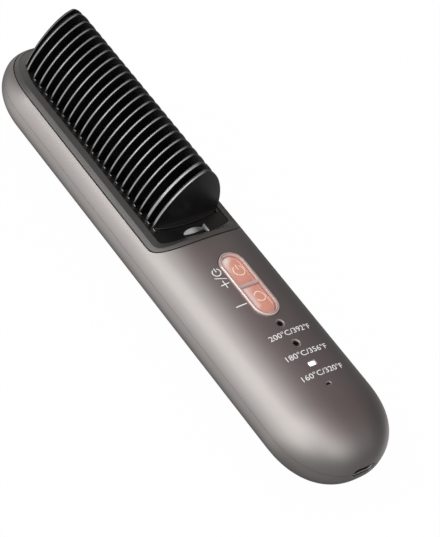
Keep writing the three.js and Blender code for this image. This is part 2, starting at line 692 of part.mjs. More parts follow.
// An end plate and a rim like the other fins', with a groove between them.
function headFin() {
  const [startX, endX] = [HEAD_FIN_X - HEAD_FIN_THICK / 2, HEAD_FIN_X + HEAD_FIN_THICK / 2];
  const [plateX, rimX] = [startX + HEAD_FIN_PLATE, endX - HEAD_FIN_RIM];
  const narrow = FIN_HALF_WIDTH - HEAD_FIN_DRAFT;
  const fin = toSolid(closedFin([
    ...plateStations(startX, plateX, narrow),
    { x: plateX, halfWidth: narrow, shrink: HEAD_FIN_GROOVE },
    { x: rimX, halfWidth: FIN_HALF_WIDTH, shrink: HEAD_FIN_GROOVE },
    ...plateStations(rimX, endX, FIN_HALF_WIDTH),
  ]));
  return fin.subtract(bezelRing.translate(0, 0, HEAD_FIN_CLEARANCE));
}

function bandFin(x, thick) {
  return toSolid(lengthwisePrism(finBand(), x - thick / 2, x + thick / 2, FIN_BEVEL));
}

// The tail fin stands on a low plinth, bowed towards the handle.
function tailFin() {
  const [startX, endX] = [TAIL_FIN_X - END_FIN_THICK / 2, TAIL_FIN_X + END_FIN_THICK / 2];
  const footZ = TRAY_TOP_Z + FIN_SEAT;
  const outline = [];
  for (let k = 0; k <= FIN_STEPS; k += 1) {
    const turn = -Math.PI / 2 + (Math.PI * k) / FIN_STEPS;
    const length = endX + PLINTH_LENGTH - TAIL_FIN_X;
    outline.push(new THREE.Vector2(TAIL_FIN_X + length * Math.cos(turn), FIN_HALF_WIDTH * Math.sin(turn)));
  }
  const plate = toSolid(closedFin(plateStations(startX, endX, FIN_HALF_WIDTH)));
  return plate.add(toSolid(uprightPrism(outline, footZ, footZ + PLINTH_HEIGHT)));
}

// A small foot at each end of a fin, on its face towards the handle.
function nubs(faceX, length) {
  const footZ = TRAY_TOP_Z + FIN_SEAT;
  return [-1, 1].map((side) => {
    const [outer, inner] = [side * FIN_HALF_WIDTH, side * (FIN_HALF_WIDTH - NUB_WIDTH)];
    const low = new THREE.Vector3(faceX - NUB_ROOT, Math.min(outer, inner), footZ);
    const high = new THREE.Vector3(faceX + length, Math.max(outer, inner), footZ + NUB_HEIGHT);
    return toSolid(block(low, high));
  });
}

function finName(number) {
  return `comb_fin_${String(number).padStart(2, '0')}`;
}

function addComb() {
  addPiece(finName(1), toGeometry(headFin()), 'fin_plastic');
  for (let number = 2; number <= FIN_COUNT; number += 1) {
    const fromTail = FIN_COUNT - number;
    const pairX = fromTail === 0 ? TAIL_FIN_X : SECOND_LAST_FIN_X;
    const x = fromTail < 2 ? pairX : FIRST_BAND_X + (number - 2) * FIN_PITCH;
    const [thick, nubLength] = fromTail < 2 ? [END_FIN_THICK, END_NUB_LENGTH] : [FIN_THICK, NUB_LENGTH];
    let fin = fromTail === 0 ? tailFin() : bandFin(x, thick);
    for (const nub of nubs(x + thick / 2, nubLength)) fin = fin.add(nub);
    addPiece(finName(number), toGeometry(fin), 'fin_plastic');
  }
}

// Heating core: an arched bar with a flange that hangs under the tray and a slot for the heater

function coreSection() {
  const arch = footedArch(CORE_HALF_WIDTH, CORE_RISE, FIN_STEPS, FLANGE_TOP_Z);
  const flange = CORE_HALF_WIDTH + CORE_FLANGE;
  const slotTop = CORE_BOTTOM_Z + HEATER_SLOT_DEPTH;
  return [
    ...arch,
    new THREE.Vector2(flange, FLANGE_TOP_Z),
    new THREE.Vector2(flange, CORE_BOTTOM_Z),
    new THREE.Vector2(HEATER_SLOT_HALF, CORE_BOTTOM_Z),
    new THREE.Vector2(HEATER_SLOT_HALF, slotTop),
    new THREE.Vector2(-HEATER_SLOT_HALF, slotTop),
    new THREE.Vector2(-HEATER_SLOT_HALF, CORE_BOTTOM_Z),
    new THREE.Vector2(-flange, CORE_BOTTOM_Z),
    new THREE.Vector2(-flange, FLANGE_TOP_Z),
  ];
}

function heater() {
  const half = HEATER_SLOT_HALF - CORE_CLEARANCE;
  const topZ = CORE_BOTTOM_Z + HEATER_SLOT_DEPTH - CORE_CLEARANCE;
  const low = new THREE.Vector3(CORE_START_X + HEATER_MARGIN, -half, topZ - HEATER_HEIGHT);
  return block(low, new THREE.Vector3(CORE_END_X - HEATER_MARGIN, half, topZ));
}

function wedge() {
  const half = HEATER_SLOT_HALF - CORE_CLEARANCE;
  const topZ = CORE_BOTTOM_Z + HEATER_SLOT_DEPTH - CORE_CLEARANCE - HEATER_HEIGHT - CORE_CLEARANCE;
  const section = [
    new THREE.Vector2(-half, topZ),
    new THREE.Vector2(-half, CORE_BOTTOM_Z + WEDGE_CORNER),
    new THREE.Vector2(-half + WEDGE_CORNER, CORE_BOTTOM_Z),
    new THREE.Vector2(half - WEDGE_CORNER, CORE_BOTTOM_Z),
    new THREE.Vector2(half, CORE_BOTTOM_Z + WEDGE_CORNER),
    new THREE.Vector2(half, topZ),
  ];
  return lengthwisePrism(section, CORE_START_X + HEATER_MARGIN, CORE_END_X - HEATER_MARGIN);
}

function shieldSection() {
  const outer = CORE_HALF_WIDTH + CORE_FLANGE;
  const inner = outer - SHIELD_THICK;
  return [
    new THREE.Vector2(-outer, SHIELD_TOP_Z),
    new THREE.Vector2(-outer, SHIELD_BOTTOM_Z),
    new THREE.Vector2(outer, SHIELD_BOTTOM_Z),
    new THREE.Vector2(outer, SHIELD_TOP_Z),
    new THREE.Vector2(inner, SHIELD_TOP_Z),
    new THREE.Vector2(inner, SHIELD_BOTTOM_Z + SHIELD_THICK),
    new THREE.Vector2(-inner, SHIELD_BOTTOM_Z + SHIELD_THICK),
    new THREE.Vector2(-inner, SHIELD_TOP_Z),
  ];
}

// A small sealed sensor lying along X in the shield, under the core's flange.
function sensor(y, length) {
  const geometry = new THREE.CapsuleGeometry(SENSOR_RADIUS, length - 2 * SENSOR_RADIUS, 3, ROUND_STEPS / 2);
  geometry.rotateZ(Math.PI / 2);
  const z = SHIELD_BOTTOM_Z + SHIELD_THICK + STACK_SEAT + SENSOR_RADIUS;
  geometry.translate((CORE_START_X + CORE_END_X) / 2, y, z);
  return closed(geometry.deleteAttribute('normal').deleteAttribute('uv'));
}

function addHeating() {
  addPiece('heating_core', lengthwisePrism(coreSection(), CORE_START_X, CORE_END_X), 'coated_aluminium');
  addPiece('ceramic_heater', heater(), 'ceramic');
  addPiece('heater_wedge', wedge(), 'steel');
  addPiece('heat_shield', lengthwisePrism(shieldSection(), CORE_START_X, CORE_END_X), 'steel');
  addPiece('thermistor', sensor(SENSOR_Y, THERMISTOR_LENGTH), 'black_plastic');
  addPiece('thermal_fuse', sensor(-SENSOR_Y, FUSE_LENGTH), 'white_plastic');
}

// Keys: one rim with two windows, a key in each, held from inside by its flange

// Rings of an outline round a quarter edge, from its side up to its top.
function edgeRings(outline, topZ, radius) {
  const rings = [];
  for (let k = 0; k <= EDGE_STEPS; k += 1) {
    const turn = (Math.PI / 2) * (k / EDGE_STEPS);
    rings.push(ringAt(outline(radius * (1 - Math.cos(turn))), topZ - radius * (1 - Math.sin(turn))));
  }
  return rings;
}

function keyRim() {
  const outline = (shrink) => capsuleOutline(keyCentre(), RIM_LENGTH, RIM_HALF_WIDTH, shrink);
  let rim = toSolid(loft([
    ringAt(outline(-RIM_FLANGE), RIM_BOTTOM_Z),
    ringAt(outline(-RIM_FLANGE), RIM_FLANGE_TOP_Z),
    ringAt(outline(0), RIM_FLANGE_TOP_Z),
    ...edgeRings(outline, RIM_TOP_Z, RIM_EDGE),
  ]));
  for (const side of [-1, 1]) {
    rim = rim.subtract(toSolid(uprightPrism(keyOutline(side, 0), BELOW_Z, ABOVE_Z)));
  }
  return rim;
}

// Half a capsule on one side of the divider; shrink moves it inwards.
function keyOutline(side, shrink) {
  const radius = RIM_HALF_WIDTH - RIM_WALL - shrink;
  const startX = DIVIDER_WIDTH / 2 + shrink;
  const centreX = RIM_LENGTH / 2 - RIM_HALF_WIDTH;
  const outline = [new THREE.Vector2(startX, -radius)];
  for (let k = 0; k <= CAPSULE_STEPS; k += 1) {
    const turn = -Math.PI / 2 + (Math.PI * k) / CAPSULE_STEPS;
    outline.push(new THREE.Vector2(centreX + radius * Math.cos(turn), radius * Math.sin(turn)));
  }
  outline.push(new THREE.Vector2(startX, radius));
  return outline.map((p) => new THREE.Vector2(KEYS_X + side * p.x, side * p.y));
}

function keyMiddleX(side) {
  return KEYS_X + (side * (RIM_LENGTH / 2 - RIM_WALL + DIVIDER_WIDTH / 2)) / 2;
}

function key(side) {
  const topZ = RIM_TOP_Z - KEY_SINK;
  const outline = (shrink) => keyOutline(side, KEY_CLEARANCE + shrink);
  const wide = outline(-KEY_FLANGE).map((p) => {
    const inwards = side * (p.x - KEYS_X) < DIVIDER_WIDTH / 2 + KEY_CLEARANCE;
    return inwards ? new THREE.Vector2(KEYS_X + side * (DIVIDER_WIDTH / 2 + KEY_CLEARANCE), p.y) : p;
  });
  const cap = toSolid(loft([
    ringAt(wide, KEY_BOTTOM_Z),
    ringAt(wide, KEY_FLANGE_TOP_Z),
    ringAt(outline(0), KEY_FLANGE_TOP_Z),
    ...edgeRings(outline, topZ, KEY_EDGE),
  ]));
  const middleX = keyMiddleX(side);
  const stemTopZ = KEY_BOTTOM_Z + KEY_FLANGE_THICK / 2;
  return cap.add(toSolid(uprightCylinder(middleX, 0, STEM_RADIUS, STEM_BOTTOM_Z, stemTopZ)));
}

function switchHousing(side) {
  const middleX = keyMiddleX(side);
  const half = SWITCH_SIDE / 2;
  const low = new THREE.Vector3(middleX - half, -half, BOARD_TOP_Z + STACK_SEAT);
  const high = new THREE.Vector3(middleX + half, half, SWITCH_TOP_Z);
  const bore = toSolid(uprightCylinder(middleX, 0, SWITCH_BORE, BELOW_Z, ABOVE_Z));
  return toSolid(block(low, high)).subtract(bore);
}

function addKeys() {
  addPiece('key_rim', toGeometry(keyRim()), 'rim_clear');
  addPiece('power_plus_key', toGeometry(key(-1)), 'key_metallic');
  addPiece('minus_key', toGeometry(key(1)), 'key_metallic');
  addPiece('power_plus_switch', toGeometry(switchHousing(-1)), 'black_plastic');
  addPiece('minus_switch', toGeometry(switchHousing(1)), 'black_plastic');
}

// Circuit board with its indicator lights and light pipes

function lightPipe(window) {
  const flangeTopZ = CROWN_Z - WALL - RIM_FLANGE_DROP;
  const flangeBottomZ = flangeTopZ - PIPE_FLANGE_THICK;
  const [neck, flange] = [windowOutline(window, -PIPE_GAP), windowOutline(window, PIPE_FLANGE)];
  return closed(loft([
    ringAt(neck, BOARD_TOP_Z + PIPE_LED_GAP),
    ringAt(neck, flangeBottomZ),
    ringAt(flange, flangeBottomZ),
    ringAt(flange, flangeTopZ),
    ringAt(neck, flangeTopZ),
    ringAt(neck, CROWN_Z - PIPE_RECESS),
  ]));
}

function indicatorLight({ x }) {
  const low = new THREE.Vector3(x - LED_LENGTH / 2, -LED_WIDTH / 2, BOARD_TOP_Z + STACK_SEAT);
  const high = new THREE.Vector3(x + LED_LENGTH / 2, LED_WIDTH / 2, BOARD_TOP_Z + STACK_SEAT + LED_HEIGHT);
  return block(low, high);
}

function addBoard() {
  const low = new THREE.Vector3(CRADLE_START_X, -BOARD_HALF_WIDTH, BOARD_BOTTOM_Z);
  const high = new THREE.Vector3(CRADLE_END_X, BOARD_HALF_WIDTH, BOARD_TOP_Z);
  addPiece('main_board', block(low, high), 'board');
  for (const window of windows) {
    addPiece(`light_pipe_${window.name}`, lightPipe(window), 'light_pipe');
    addPiece(`indicator_led_${window.name}`, indicatorLight(window), 'light_pipe');
  }
}

// Cells side by side in a cradle that also carries the board

function cell(y) {
  const geometry = new THREE.LatheGeometry([
    new THREE.Vector2(0, 0),
    new THREE.Vector2(CELL_RADIUS - CELL_EDGE, 0),
    new THREE.Vector2(CELL_RADIUS, CELL_EDGE),
    new THREE.Vector2(CELL_RADIUS, CELL_LENGTH - CELL_BUTTON_HEIGHT - CELL_EDGE),
    new THREE.Vector2(CELL_RADIUS - CELL_EDGE, CELL_LENGTH - CELL_BUTTON_HEIGHT),
    new THREE.Vector2(CELL_BUTTON_RADIUS, CELL_LENGTH - CELL_BUTTON_HEIGHT),
    new THREE.Vector2(CELL_BUTTON_RADIUS, CELL_LENGTH),
    new THREE.Vector2(0, CELL_LENGTH),
  ], ROUND_STEPS);
  geometry.rotateZ(-Math.PI / 2);
  geometry.translate(CELLS_START_X, y, CELL_Z);
  return closed(geometry.deleteAttribute('normal').deleteAttribute('uv'));
}

function cradle() {
  const web = WEB_THICK / 2;
  const reach = CELL_Y + CELL_RADIUS;
  const [startX, endX] = [CRADLE_START_X + CRADLE_WALL, CRADLE_END_X - CRADLE_WALL];
  const outline = [
    new THREE.Vector2(CRADLE_START_X, -reach),
    new THREE.Vector2(startX, -reach),
    new THREE.Vector2(startX, -web),
    new THREE.Vector2(endX, -web),
    new THREE.Vector2(endX, -reach),
    new THREE.Vector2(CRADLE_END_X, -reach),
    new THREE.Vector2(CRADLE_END_X, reach),
    new THREE.Vector2(endX, reach),
    new THREE.Vector2(endX, web),
    new THREE.Vector2(startX, web),
    new THREE.Vector2(startX, reach),
    new THREE.Vector2(CRADLE_START_X, reach),
  ];
  const frame = new THREE.ExtrudeGeometry(new THREE.Shape(outline), {
    depth: CRADLE_TOP_Z,
    bevelEnabled: false,
  });
  return toSolid(frame).intersect(hiddenBody(WALL + CRADLE_CLEARANCE));
}

function addCells() {
  addPiece('battery_cell_left', cell(-CELL_Y), 'cell_wrap');
  addPiece('battery_cell_right', cell(CELL_Y), 'cell_wrap');
  addPiece('battery_cradle', toGeometry(cradle()), 'black_plastic');
}

// Charging port: a metal socket with its tongue, on a small board of its own

function socketShell() {
  const outer = toSolid(lengthwisePrism(socketSection(0), SOCKET_BACK_X, SOCKET_MOUTH_X));
  return outer.subtract(toSolid(lengthwisePrism(socketSection(-SOCKET_WALL), -BODY_LENGTH, BODY_LENGTH)));
}

function socketTongue() {
  const baseEndX = SOCKET_BACK_X + TONGUE_BASE_LENGTH;
  const section = socketSection(-SOCKET_WALL - TONGUE_CLEARANCE);
  const base = toSolid(lengthwisePrism(section, SOCKET_BACK_X, baseEndX));
  const low = new THREE.Vector3(SOCKET_BACK_X, -TONGUE_WIDTH / 2, PORT_Z - TONGUE_THICK / 2);
  const high = new THREE.Vector3(baseEndX + TONGUE_LENGTH, TONGUE_WIDTH / 2, PORT_Z + TONGUE_THICK / 2);
  return base.add(toSolid(block(low, high)));
}

function chargeBoard() {
  const lowZ = CHARGE_BOARD_TOP_Z - CHARGE_BOARD_THICK;
  const low = new THREE.Vector3(CHARGE_BOARD_START_X, -CHARGE_BOARD_HALF_WIDTH, lowZ);
  const high = new THREE.Vector3(CHARGE_BOARD_END_X, CHARGE_BOARD_HALF_WIDTH, CHARGE_BOARD_TOP_Z);
  return block(low, high);
}

function addPort() {
  addPiece('usb_c_socket', toGeometry(socketShell()), 'steel');
  addPiece('usb_c_tongue', toGeometry(socketTongue()), 'black_plastic');
  addPiece('charge_board', chargeBoard(), 'board');
}

addPiece('upper_shell', toGeometry(upperShell()), 'satin_body');
addPiece('back_shell', toGeometry(backShell()), 'satin_body');
addPiece('comb_bezel', toGeometry(bezelRing), 'bezel');
addPiece('comb_tray', toGeometry(tray()), 'black_plastic');
addComb();
addHeating();
addKeys();
addBoard();
addCells();
addPort();

export default object;
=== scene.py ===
"""Looks of the hair straightening brush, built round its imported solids.

Lengths are in millimetres up to the mesh. The lengths that the solids also have are written as there.
"""

import math

import bmesh
import bpy
import numpy as np
from mathutils import Matrix, Vector


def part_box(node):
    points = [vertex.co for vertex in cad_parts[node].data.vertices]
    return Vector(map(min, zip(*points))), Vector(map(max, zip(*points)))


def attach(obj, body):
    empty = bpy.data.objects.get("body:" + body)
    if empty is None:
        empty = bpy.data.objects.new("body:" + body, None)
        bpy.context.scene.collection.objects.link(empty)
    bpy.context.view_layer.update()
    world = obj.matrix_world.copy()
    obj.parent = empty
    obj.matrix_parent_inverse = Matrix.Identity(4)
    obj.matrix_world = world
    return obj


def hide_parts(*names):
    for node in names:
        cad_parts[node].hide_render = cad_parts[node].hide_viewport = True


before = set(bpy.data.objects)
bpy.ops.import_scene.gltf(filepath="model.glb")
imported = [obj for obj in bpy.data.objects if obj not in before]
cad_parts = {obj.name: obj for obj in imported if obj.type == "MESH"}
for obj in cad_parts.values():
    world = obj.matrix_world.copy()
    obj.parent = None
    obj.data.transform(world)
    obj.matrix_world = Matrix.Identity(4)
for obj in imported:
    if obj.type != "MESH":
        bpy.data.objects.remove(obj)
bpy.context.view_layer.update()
bpy.context.scene.view_settings.view_transform = "Standard"
MM = 0.001

# Camera, fitted to the photograph
CAMERA_TURN = math.radians(33.925)
CAMERA_TILT = math.radians(43.179)
CAMERA_ROLL = math.radians(26.516)
CAMERA_TARGET = (7.84, 12.27, 5.96)
CAMERA_DISTANCE = 687.2
CAMERA_LENS = 130.7
SENSOR = 36.0

# Body form, as in the solids
BODY_LENGTH = 205.0
BODY_WIDTH = 44.2
WIDEST_Z = 11.55
CROWN_RISE = 14.65
BACK_DEPTH = 11.85
HEAD_ROUND = 26.1
TAIL_ROUND = 25.1
CROWN_POWER = 2.44
BACK_POWER = 2.6
HEAD_PLAN_POWER = 2.22
HEAD_SIDE_POWER = 1.95
TAIL_PLAN_POWER = 2.25
TAIL_SIDE_POWER = 2.41
HEAD_START_X = -BODY_LENGTH / 2 + HEAD_ROUND
TAIL_START_X = BODY_LENGTH / 2 - TAIL_ROUND
CROWN_Z = WIDEST_Z + CROWN_RISE
WALL = 2.0
PARTING_Z = 12.7
PARTING_GAP = 0.1
SEAM_DEPTH = 0.07
LIP_INSET = 1.25
LIP_TOP_Z = 14.0
LIP_CLEARANCE = 0.3
TIP_SHARE = 0.99998
RING_STEPS = 144
END_STEPS = 40
INNER_STEPS = (96, 20)
COPY_STEPS = (96, 30)
SEAM_BAND = 1.0
SEAM_SINK = 0.02
LIP_ROOT = 0.8
FORM_TOLERANCE = 0.06
FORM_AGREEMENT = 0.82
ABOVE_Z = 60.0
BELOW_Z = -20.0

# Bezel and tray
BEZEL_HALF_WIDTH = 19.95
BEZEL_TAIL_X = 6.8
BEZEL_TAIL_ROUND = 9.0
BEZEL_TAIL_POWER = 3.0
BEZEL_TAIL_INSET_SHARE = 1.4
BEZEL_HEAD_LENGTH = 24.3
BEZEL_START_X = -76.0
BEZEL_HEAD_POWER = 2.29
BEZEL_GAP = 0.32
BEZEL_LOW_Z = 14.5
BEZEL_DEPTH = 6.0
RIM_WIDTH = 1.6
RIM_STEP = 0.2
RIM_EDGE = 0.15
BAND_WIDTH = 2.5
BAND_LOW_Z = 21.5
BAND_SINK = 0.9
RIM_HIGHLIGHT_SHARE = 0.9
BAND_STEPS = 12
OPENING_CHAMFER = 0.12
OUTLINE_STEPS = 96
TRAY_INSET = 4.3
TRAY_TOP_Z = 21.2
TRAY_BOTTOM_Z = 18.2
TRAY_STEP = 0.3
SCOOP = (-0.14, 0.2, 21.8)
SCOOP_SIZE = (2.3, 5.2, 1.5)
SCOOP_STEPS = 32
SCOOP_TOLERANCE = 0.04
SCOOP_HIGHLIGHT_TO = -0.18
CATCH_LOW = (-1.64, 4.4, 21.4)
CATCH_HIGH = (2.16, 5.1, 22.5)
CATCH_EDGE = 0.2

# Comb
FIN_COUNT = 22
FIN_HALF_WIDTH = 14.4
FIN_RISE = 23.7
FIN_POWER = 1.58
FOOT_Z = 21.9
FIN_BOTTOM_Z = 21.25
FIN_EDGE = 0.2
FIN_DRAFT = 0.12
FIN_STEPS = 80
FIN_RIM = 1.1
PLATE_EDGE = 0.9
PLATE_ROUND = 0.6
TAIL_FIN_ROUND = 0.75
HEAD_RIM_ROUND = TAIL_FIN_ROUND * 0.6
GROOVE_DEPTH = 2.2
GROOVE_SLANT = 0.15
NUB_LENGTH = 0.9
END_NUB_LENGTH = 1.3
NUB_WIDTH = 0.8
NUB_HEIGHT = 0.8
NUB_ROOT = 0.6
NUB_EDGE = 0.2
HEAD_FIN_DRAFT = 1.2
HEAD_PLATE_END_X = -89.3
CORE_HALF_WIDTH = 10.6
CORE_RISE = 13.5
CORE_CLEARANCE = 0.3
CORE_START_X = -86.14
CORE_END_X = -8.0
TAIL_FIN_X = -6.95
END_FIN_THICK = 1.5
PLINTH_LENGTH = 2.3
PLINTH_HEIGHT = 0.8
PLINTH_EDGE = 0.15

# Keys
KEYS_X = 29.35
KEY_RIM_HALF_WIDTH = 5.2
KEY_RIM_LENGTH = 28.8
KEY_RIM_TOP_Z = 26.9
KEY_RIM_FLANGE_Z = 23.6
KEY_RIM_BOTTOM_Z = 22.6
KEY_RIM_GROOVE = 0.35
KEY_RIM_WALL = 1.05
KEY_RIM_GAP = 0.2
KEY_RIM_FLANGE = 1.0
KEY_RIM_EDGE = 0.45
KEY_RIM_GROOVE_PLAN = (0.5, 0.53, 0.66, 0.69)
KEY_RIM_GROOVE_TOLERANCE = 0.03
KEY_HOLE_EDGE = 0.2
KEY_HOLE_EDGE_MIDDLE = 0.06
KEY_DIVIDER = 0.9
KEY_CLEARANCE = 0.2
KEY_TOP_Z = 26.6
KEY_EDGE = 0.5
KEY_DOME = 0.6
KEY_DOME_STEPS = 8
KEY_DOME_REACH = 0.97
KEY_FLANGE = 0.7
KEY_FLANGE_TOP_Z = 22.3
KEY_BOTTOM_Z = 21.5
STEM_RADIUS = 1.1
STEM_BOTTOM_Z = 20.1
STEM_ROOT = 0.4
STEM_STEPS = 40
CAPSULE_STEPS = 36

# Windows and socket
WINDOW_X = (47.5, 56.55, 65.6, 74.65)
WINDOW_NAMES = ("high", "medium", "low", "charge")
ROUND_WINDOWS = (0, 1)
LIT_WINDOW = 2
LIT_WINDOW_CORNER = 0.35
WINDOW_FORMS = ((1.1, 0.0), (1.1, 0.0), (0.85, 0.65), (0.45, 0.5))
WINDOW_STEPS = ((0.3, 0.35), (0.3, 0.35), (0.05, 0.15), (0.05, 0.25))
WINDOW_SINK = 0.3
WINDOW_FIT = 0.05
WINDOW_STEPS_ROUND = 32
WINDOW_NEAR = 2.0
PIPE_CLEARANCE = 0.12
PIPE_EDGE = 0.06
PIPE_SINK = 0.4
LIT_PIPE_SINK = 0.26
PIPE_BORE = (0.48, 0.5)
PIPE_BORE_DEPTH = 0.8
PORT_Z = 12.7
SOCKET_START_X = 94.0
SOCKET_END_X = 101.6
SOCKET_WIDTH = 8.94
SOCKET_HEIGHT = 3.26
SOCKET_WALL = 0.3
INNER_WALL_SHARE = 0.9
MOUTH_SLANT = 0.3
PORT_CLEARANCE = 0.25
PORT_CHAMFER = 0.35
PORT_OVERRUN = 4.0
TONGUE_WIDTH = 6.65
TONGUE_THICK = 0.7
TONGUE_END_X = 100.65
TONGUE_BASE_END_X = 96.2
TONGUE_BASE_GAP = 0.05
TONGUE_CORNER = 0.2
TONGUE_ROOT = 0.5
TONGUE_TIP = 0.12

# Legends: places along and across the handle
POWER_SIGN = (20.7, -7.6, 1.5)
SLASH = ((22.6, -9.6), (24.3, -5.9))
PLUS_SIGN = (((24.6, -7.8), (27.6, -7.8)), ((26.1, -9.3), (26.1, -6.3)))
MINUS_SIGN = ((35.7, -9.9), (35.9, -5.9))
KEY_POWER_SIGN = (23.2, 0.2, 2.15)
KEY_RING = (35.3, 0.3, 2.0, -60, 240)
SIGN_WIDTH = 0.36
SLASH_WIDTH = 0.3
MINUS_WIDTH = 0.4
KEY_SIGN_WIDTH = 0.3
KEY_RING_WIDTH = 0.32
SIGN_HEIGHT = 0.03
CROSS_LIFT = 0.005
KEY_SIGN_HEIGHT = 0.1
KEY_SIGN_SINK = 0.01
SIGN_SINK = 0.05
END_TURNS = (25, 50, 75)
STRAIGHT_POINTS = 9
SIGN_HALF_TURN = 145
HEAT_TEXTS = (("200°C/392°F", 51.9), ("180°C/356°F", 61.1), ("160°C/320°F", 70.0))
TEXT_SIZE = 2.9
TEXT_LENGTH = 18.4
TEXT_MIDDLE_Y = 1.2
TEXT_HEIGHT = 0.04
TEXT_SINK = 0.01

# The room's soft lights and dark cards, as gloss sees them, fitted to the body's tones
# in the photograph and rounded: turn and height in degrees, tightness, brightness
ROOM_LIGHTS = (
    (-89, 16, 7.0, 3.2),
    (-112, 63, 12.0, 2.3),
    (-105, 48, 32.0, 1.0),
    (-10, 51, 8.0, 1.7),
    (-123, -32, 7.0, 1.65),
    (85, -25, 19.0, 1.0),
    (-12, -30, 2.0, 0.35),
    (165, 15, 6.5, 0.85),
    (-131, 40, 15.0, -1.0),
    (-120, 18, 29.0, -1.0),
    (-79, 4, 12.0, -1.0),
    (-104, -46, 21.0, -1.0),
)
ROOM_BLUSH = ((110, 68, 8.0, 0.13),)
WHITE = (1, 1, 1, 1)
BLUSH_TINT = (1, 0.1, 0.2, 1)
AMBIENT = 0.9
FLOOR_Z = -0.1
FLOOR_HALF = 6.0
FLOOR_GLOW_SHARE = 0.98
FIBRE_SCALE = 400

SMOOTH_ANGLE = math.radians(32)
BEZEL_SMOOTH_ANGLE = math.radians(25)
KEY_SMOOTH_ANGLE = math.radians(40)
WELD_DISTANCE = 1e-7
RELIEF_DEPTH = 0.00005


# Mesh helpers


def new_mesh(name, points, faces):
    """A closed mesh in metres from points in millimetres, its faces turned outwards."""
    mesh = bpy.data.meshes.new(name)
    mesh.from_pydata([[c * MM for c in p] for p in points], [], faces)
    work = bmesh.new()
    work.from_mesh(mesh)
    bmesh.ops.remove_doubles(work, verts=work.verts, dist=WELD_DISTANCE)
    bmesh.ops.recalc_face_normals(work, faces=work.faces)
    work.to_mesh(mesh)
    work.free()
    return mesh


def add_to_scene(name, data):
    thing = bpy.data.objects.new(name, data)
    bpy.context.scene.collection.objects.link(thing)
    return thing


def new_object(name, points, faces):
    return add_to_scene(name, new_mesh(name, points, faces))


def loft(loops, joined=False):
    """Quads between closed loops of one length, the ends capped flat or joined to each other."""
    count = len(loops[0])
    points = [p for loop in loops for p in loop]
    faces = []
    for k in range(len(loops) if joined else len(loops) - 1):
        here, there = k * count, (k + 1) % len(loops) * count
        for i in range(count):
            j = (i + 1) % count
            faces.append((here + i, here + j, there + j, there + i))
    if not joined:
        faces.append(tuple(range(count)))
        faces.append(tuple(range(len(points) - count, len(points))))
    return points, faces


def signed_power(value, power):
    return math.copysign(abs(value) ** power, value)


def section_at(x, outline):
    return [(x, y, z) for y, z in outline]


def level(outline, z):
    return [(x, y, z(x, y) if callable(z) else z) for x, y in outline]


def prism(name, outline, low, high):
    return new_object(name, *loft([level(outline, low), level(outline, high)]))


def block(name, low, high):
    (ax, ay, az), (bx, by, bz) = low, high
    return prism(name, [(ax, ay), (bx, ay), (bx, by), (ax, by)], az, bz)


def carve(thing, *steps):
    """Applies (operation, tool) steps in order and drops the tools."""
    for operation, tool in steps:
        modifier = thing.modifiers.new(operation.title(), "BOOLEAN")
        modifier.operation = operation
        modifier.solver = "EXACT"
        modifier.object = tool
        depsgraph = bpy.context.evaluated_depsgraph_get()
        mesh = bpy.data.meshes.new_from_object(thing.evaluated_get(depsgraph))
        thing.modifiers.clear()
        thing.data = mesh
    for tool in {tool for _, tool in steps}:
        bpy.data.objects.remove(tool)
    return thing


def cut(thing, *tools):
    return carve(thing, *(("DIFFERENCE", tool) for tool in tools))


def smooth(thing, true_normal=None, angle=SMOOTH_ANGLE):
    """Smooth shading with sharp edges kept, and the form's own normals wherever a face lies on it."""
    mesh = thing.data
    mesh.shade_smooth()
    mesh.set_sharp_from_angle(angle=angle)
    if true_normal is None:
        return thing
    normals = np.zeros(len(mesh.loops) * 3)
    mesh.corner_normals.foreach_get("vector", normals)
    normals = normals.reshape(-1, 3)
    places = np.array([v.co for v in mesh.vertices]) / MM
    for face in mesh.polygons:
        flat = np.array(face.normal)
        for k in face.loop_indices:
            known = true_normal(places[mesh.loops[k].vertex_index])
            if known is not None and float(known @ flat) > FORM_AGREEMENT:
                normals[k] = known
    mesh.normals_split_custom_set(normals.tolist())
    return thing


def dress(thing, finish, slot, body, *nodes):
    """Gives a piece its finish, sets it on its body and lets it stand for the nodes. The slot is not used.
    """
    thing.data.materials.clear()
    thing.data.materials.append(finish)
    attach(thing, body)
    if nodes:
        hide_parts(*nodes)
    return thing


def add_finishes(thing, choose, *finishes):
    """Gives each face the finish that choose numbers: 0 is the one that the piece has already."""
    for added in finishes:
        thing.data.materials.append(added)
    for face in thing.data.polygons:
        face.material_index = int(choose(face))


# Body form


def end_share(run, power):
    return max(1 - run**power, 0) ** (1 / power)


def body_section(x, inset=0.0):
    head = x < HEAD_START_X
    length = (HEAD_ROUND if head else TAIL_ROUND) - inset
    run = max(HEAD_START_X - x, x - TAIL_START_X, 0) / length
    plan = end_share(run, HEAD_PLAN_POWER if head else TAIL_PLAN_POWER)
    side = end_share(run, HEAD_SIDE_POWER if head else TAIL_SIDE_POWER)
    return (BODY_WIDTH / 2 - inset) * plan, (CROWN_RISE - inset) * side, (BACK_DEPTH - inset) * side


def crown_height(x, y, inset=0.0):
    half_width, rise, _ = body_section(x, inset)
    return WIDEST_Z + rise * end_share(min(abs(y) / max(half_width, 1e-6), 1), CROWN_POWER)


def body_loop(x, inset, steps):
    half_width, rise, depth = body_section(x, inset)
    loop = []
    for k in range(steps):
        turn = 2 * math.pi * (k + 0.5) / steps
        cosine, sine = math.cos(turn), math.sin(turn)
        share = 2 / (BACK_POWER if sine < 0 else CROWN_POWER)
        y = half_width * signed_power(cosine, share)
        z = WIDEST_Z + (-depth if sine < 0 else rise) * abs(sine) ** share
        loop.append((x, y, max(z, inset)))
    return loop


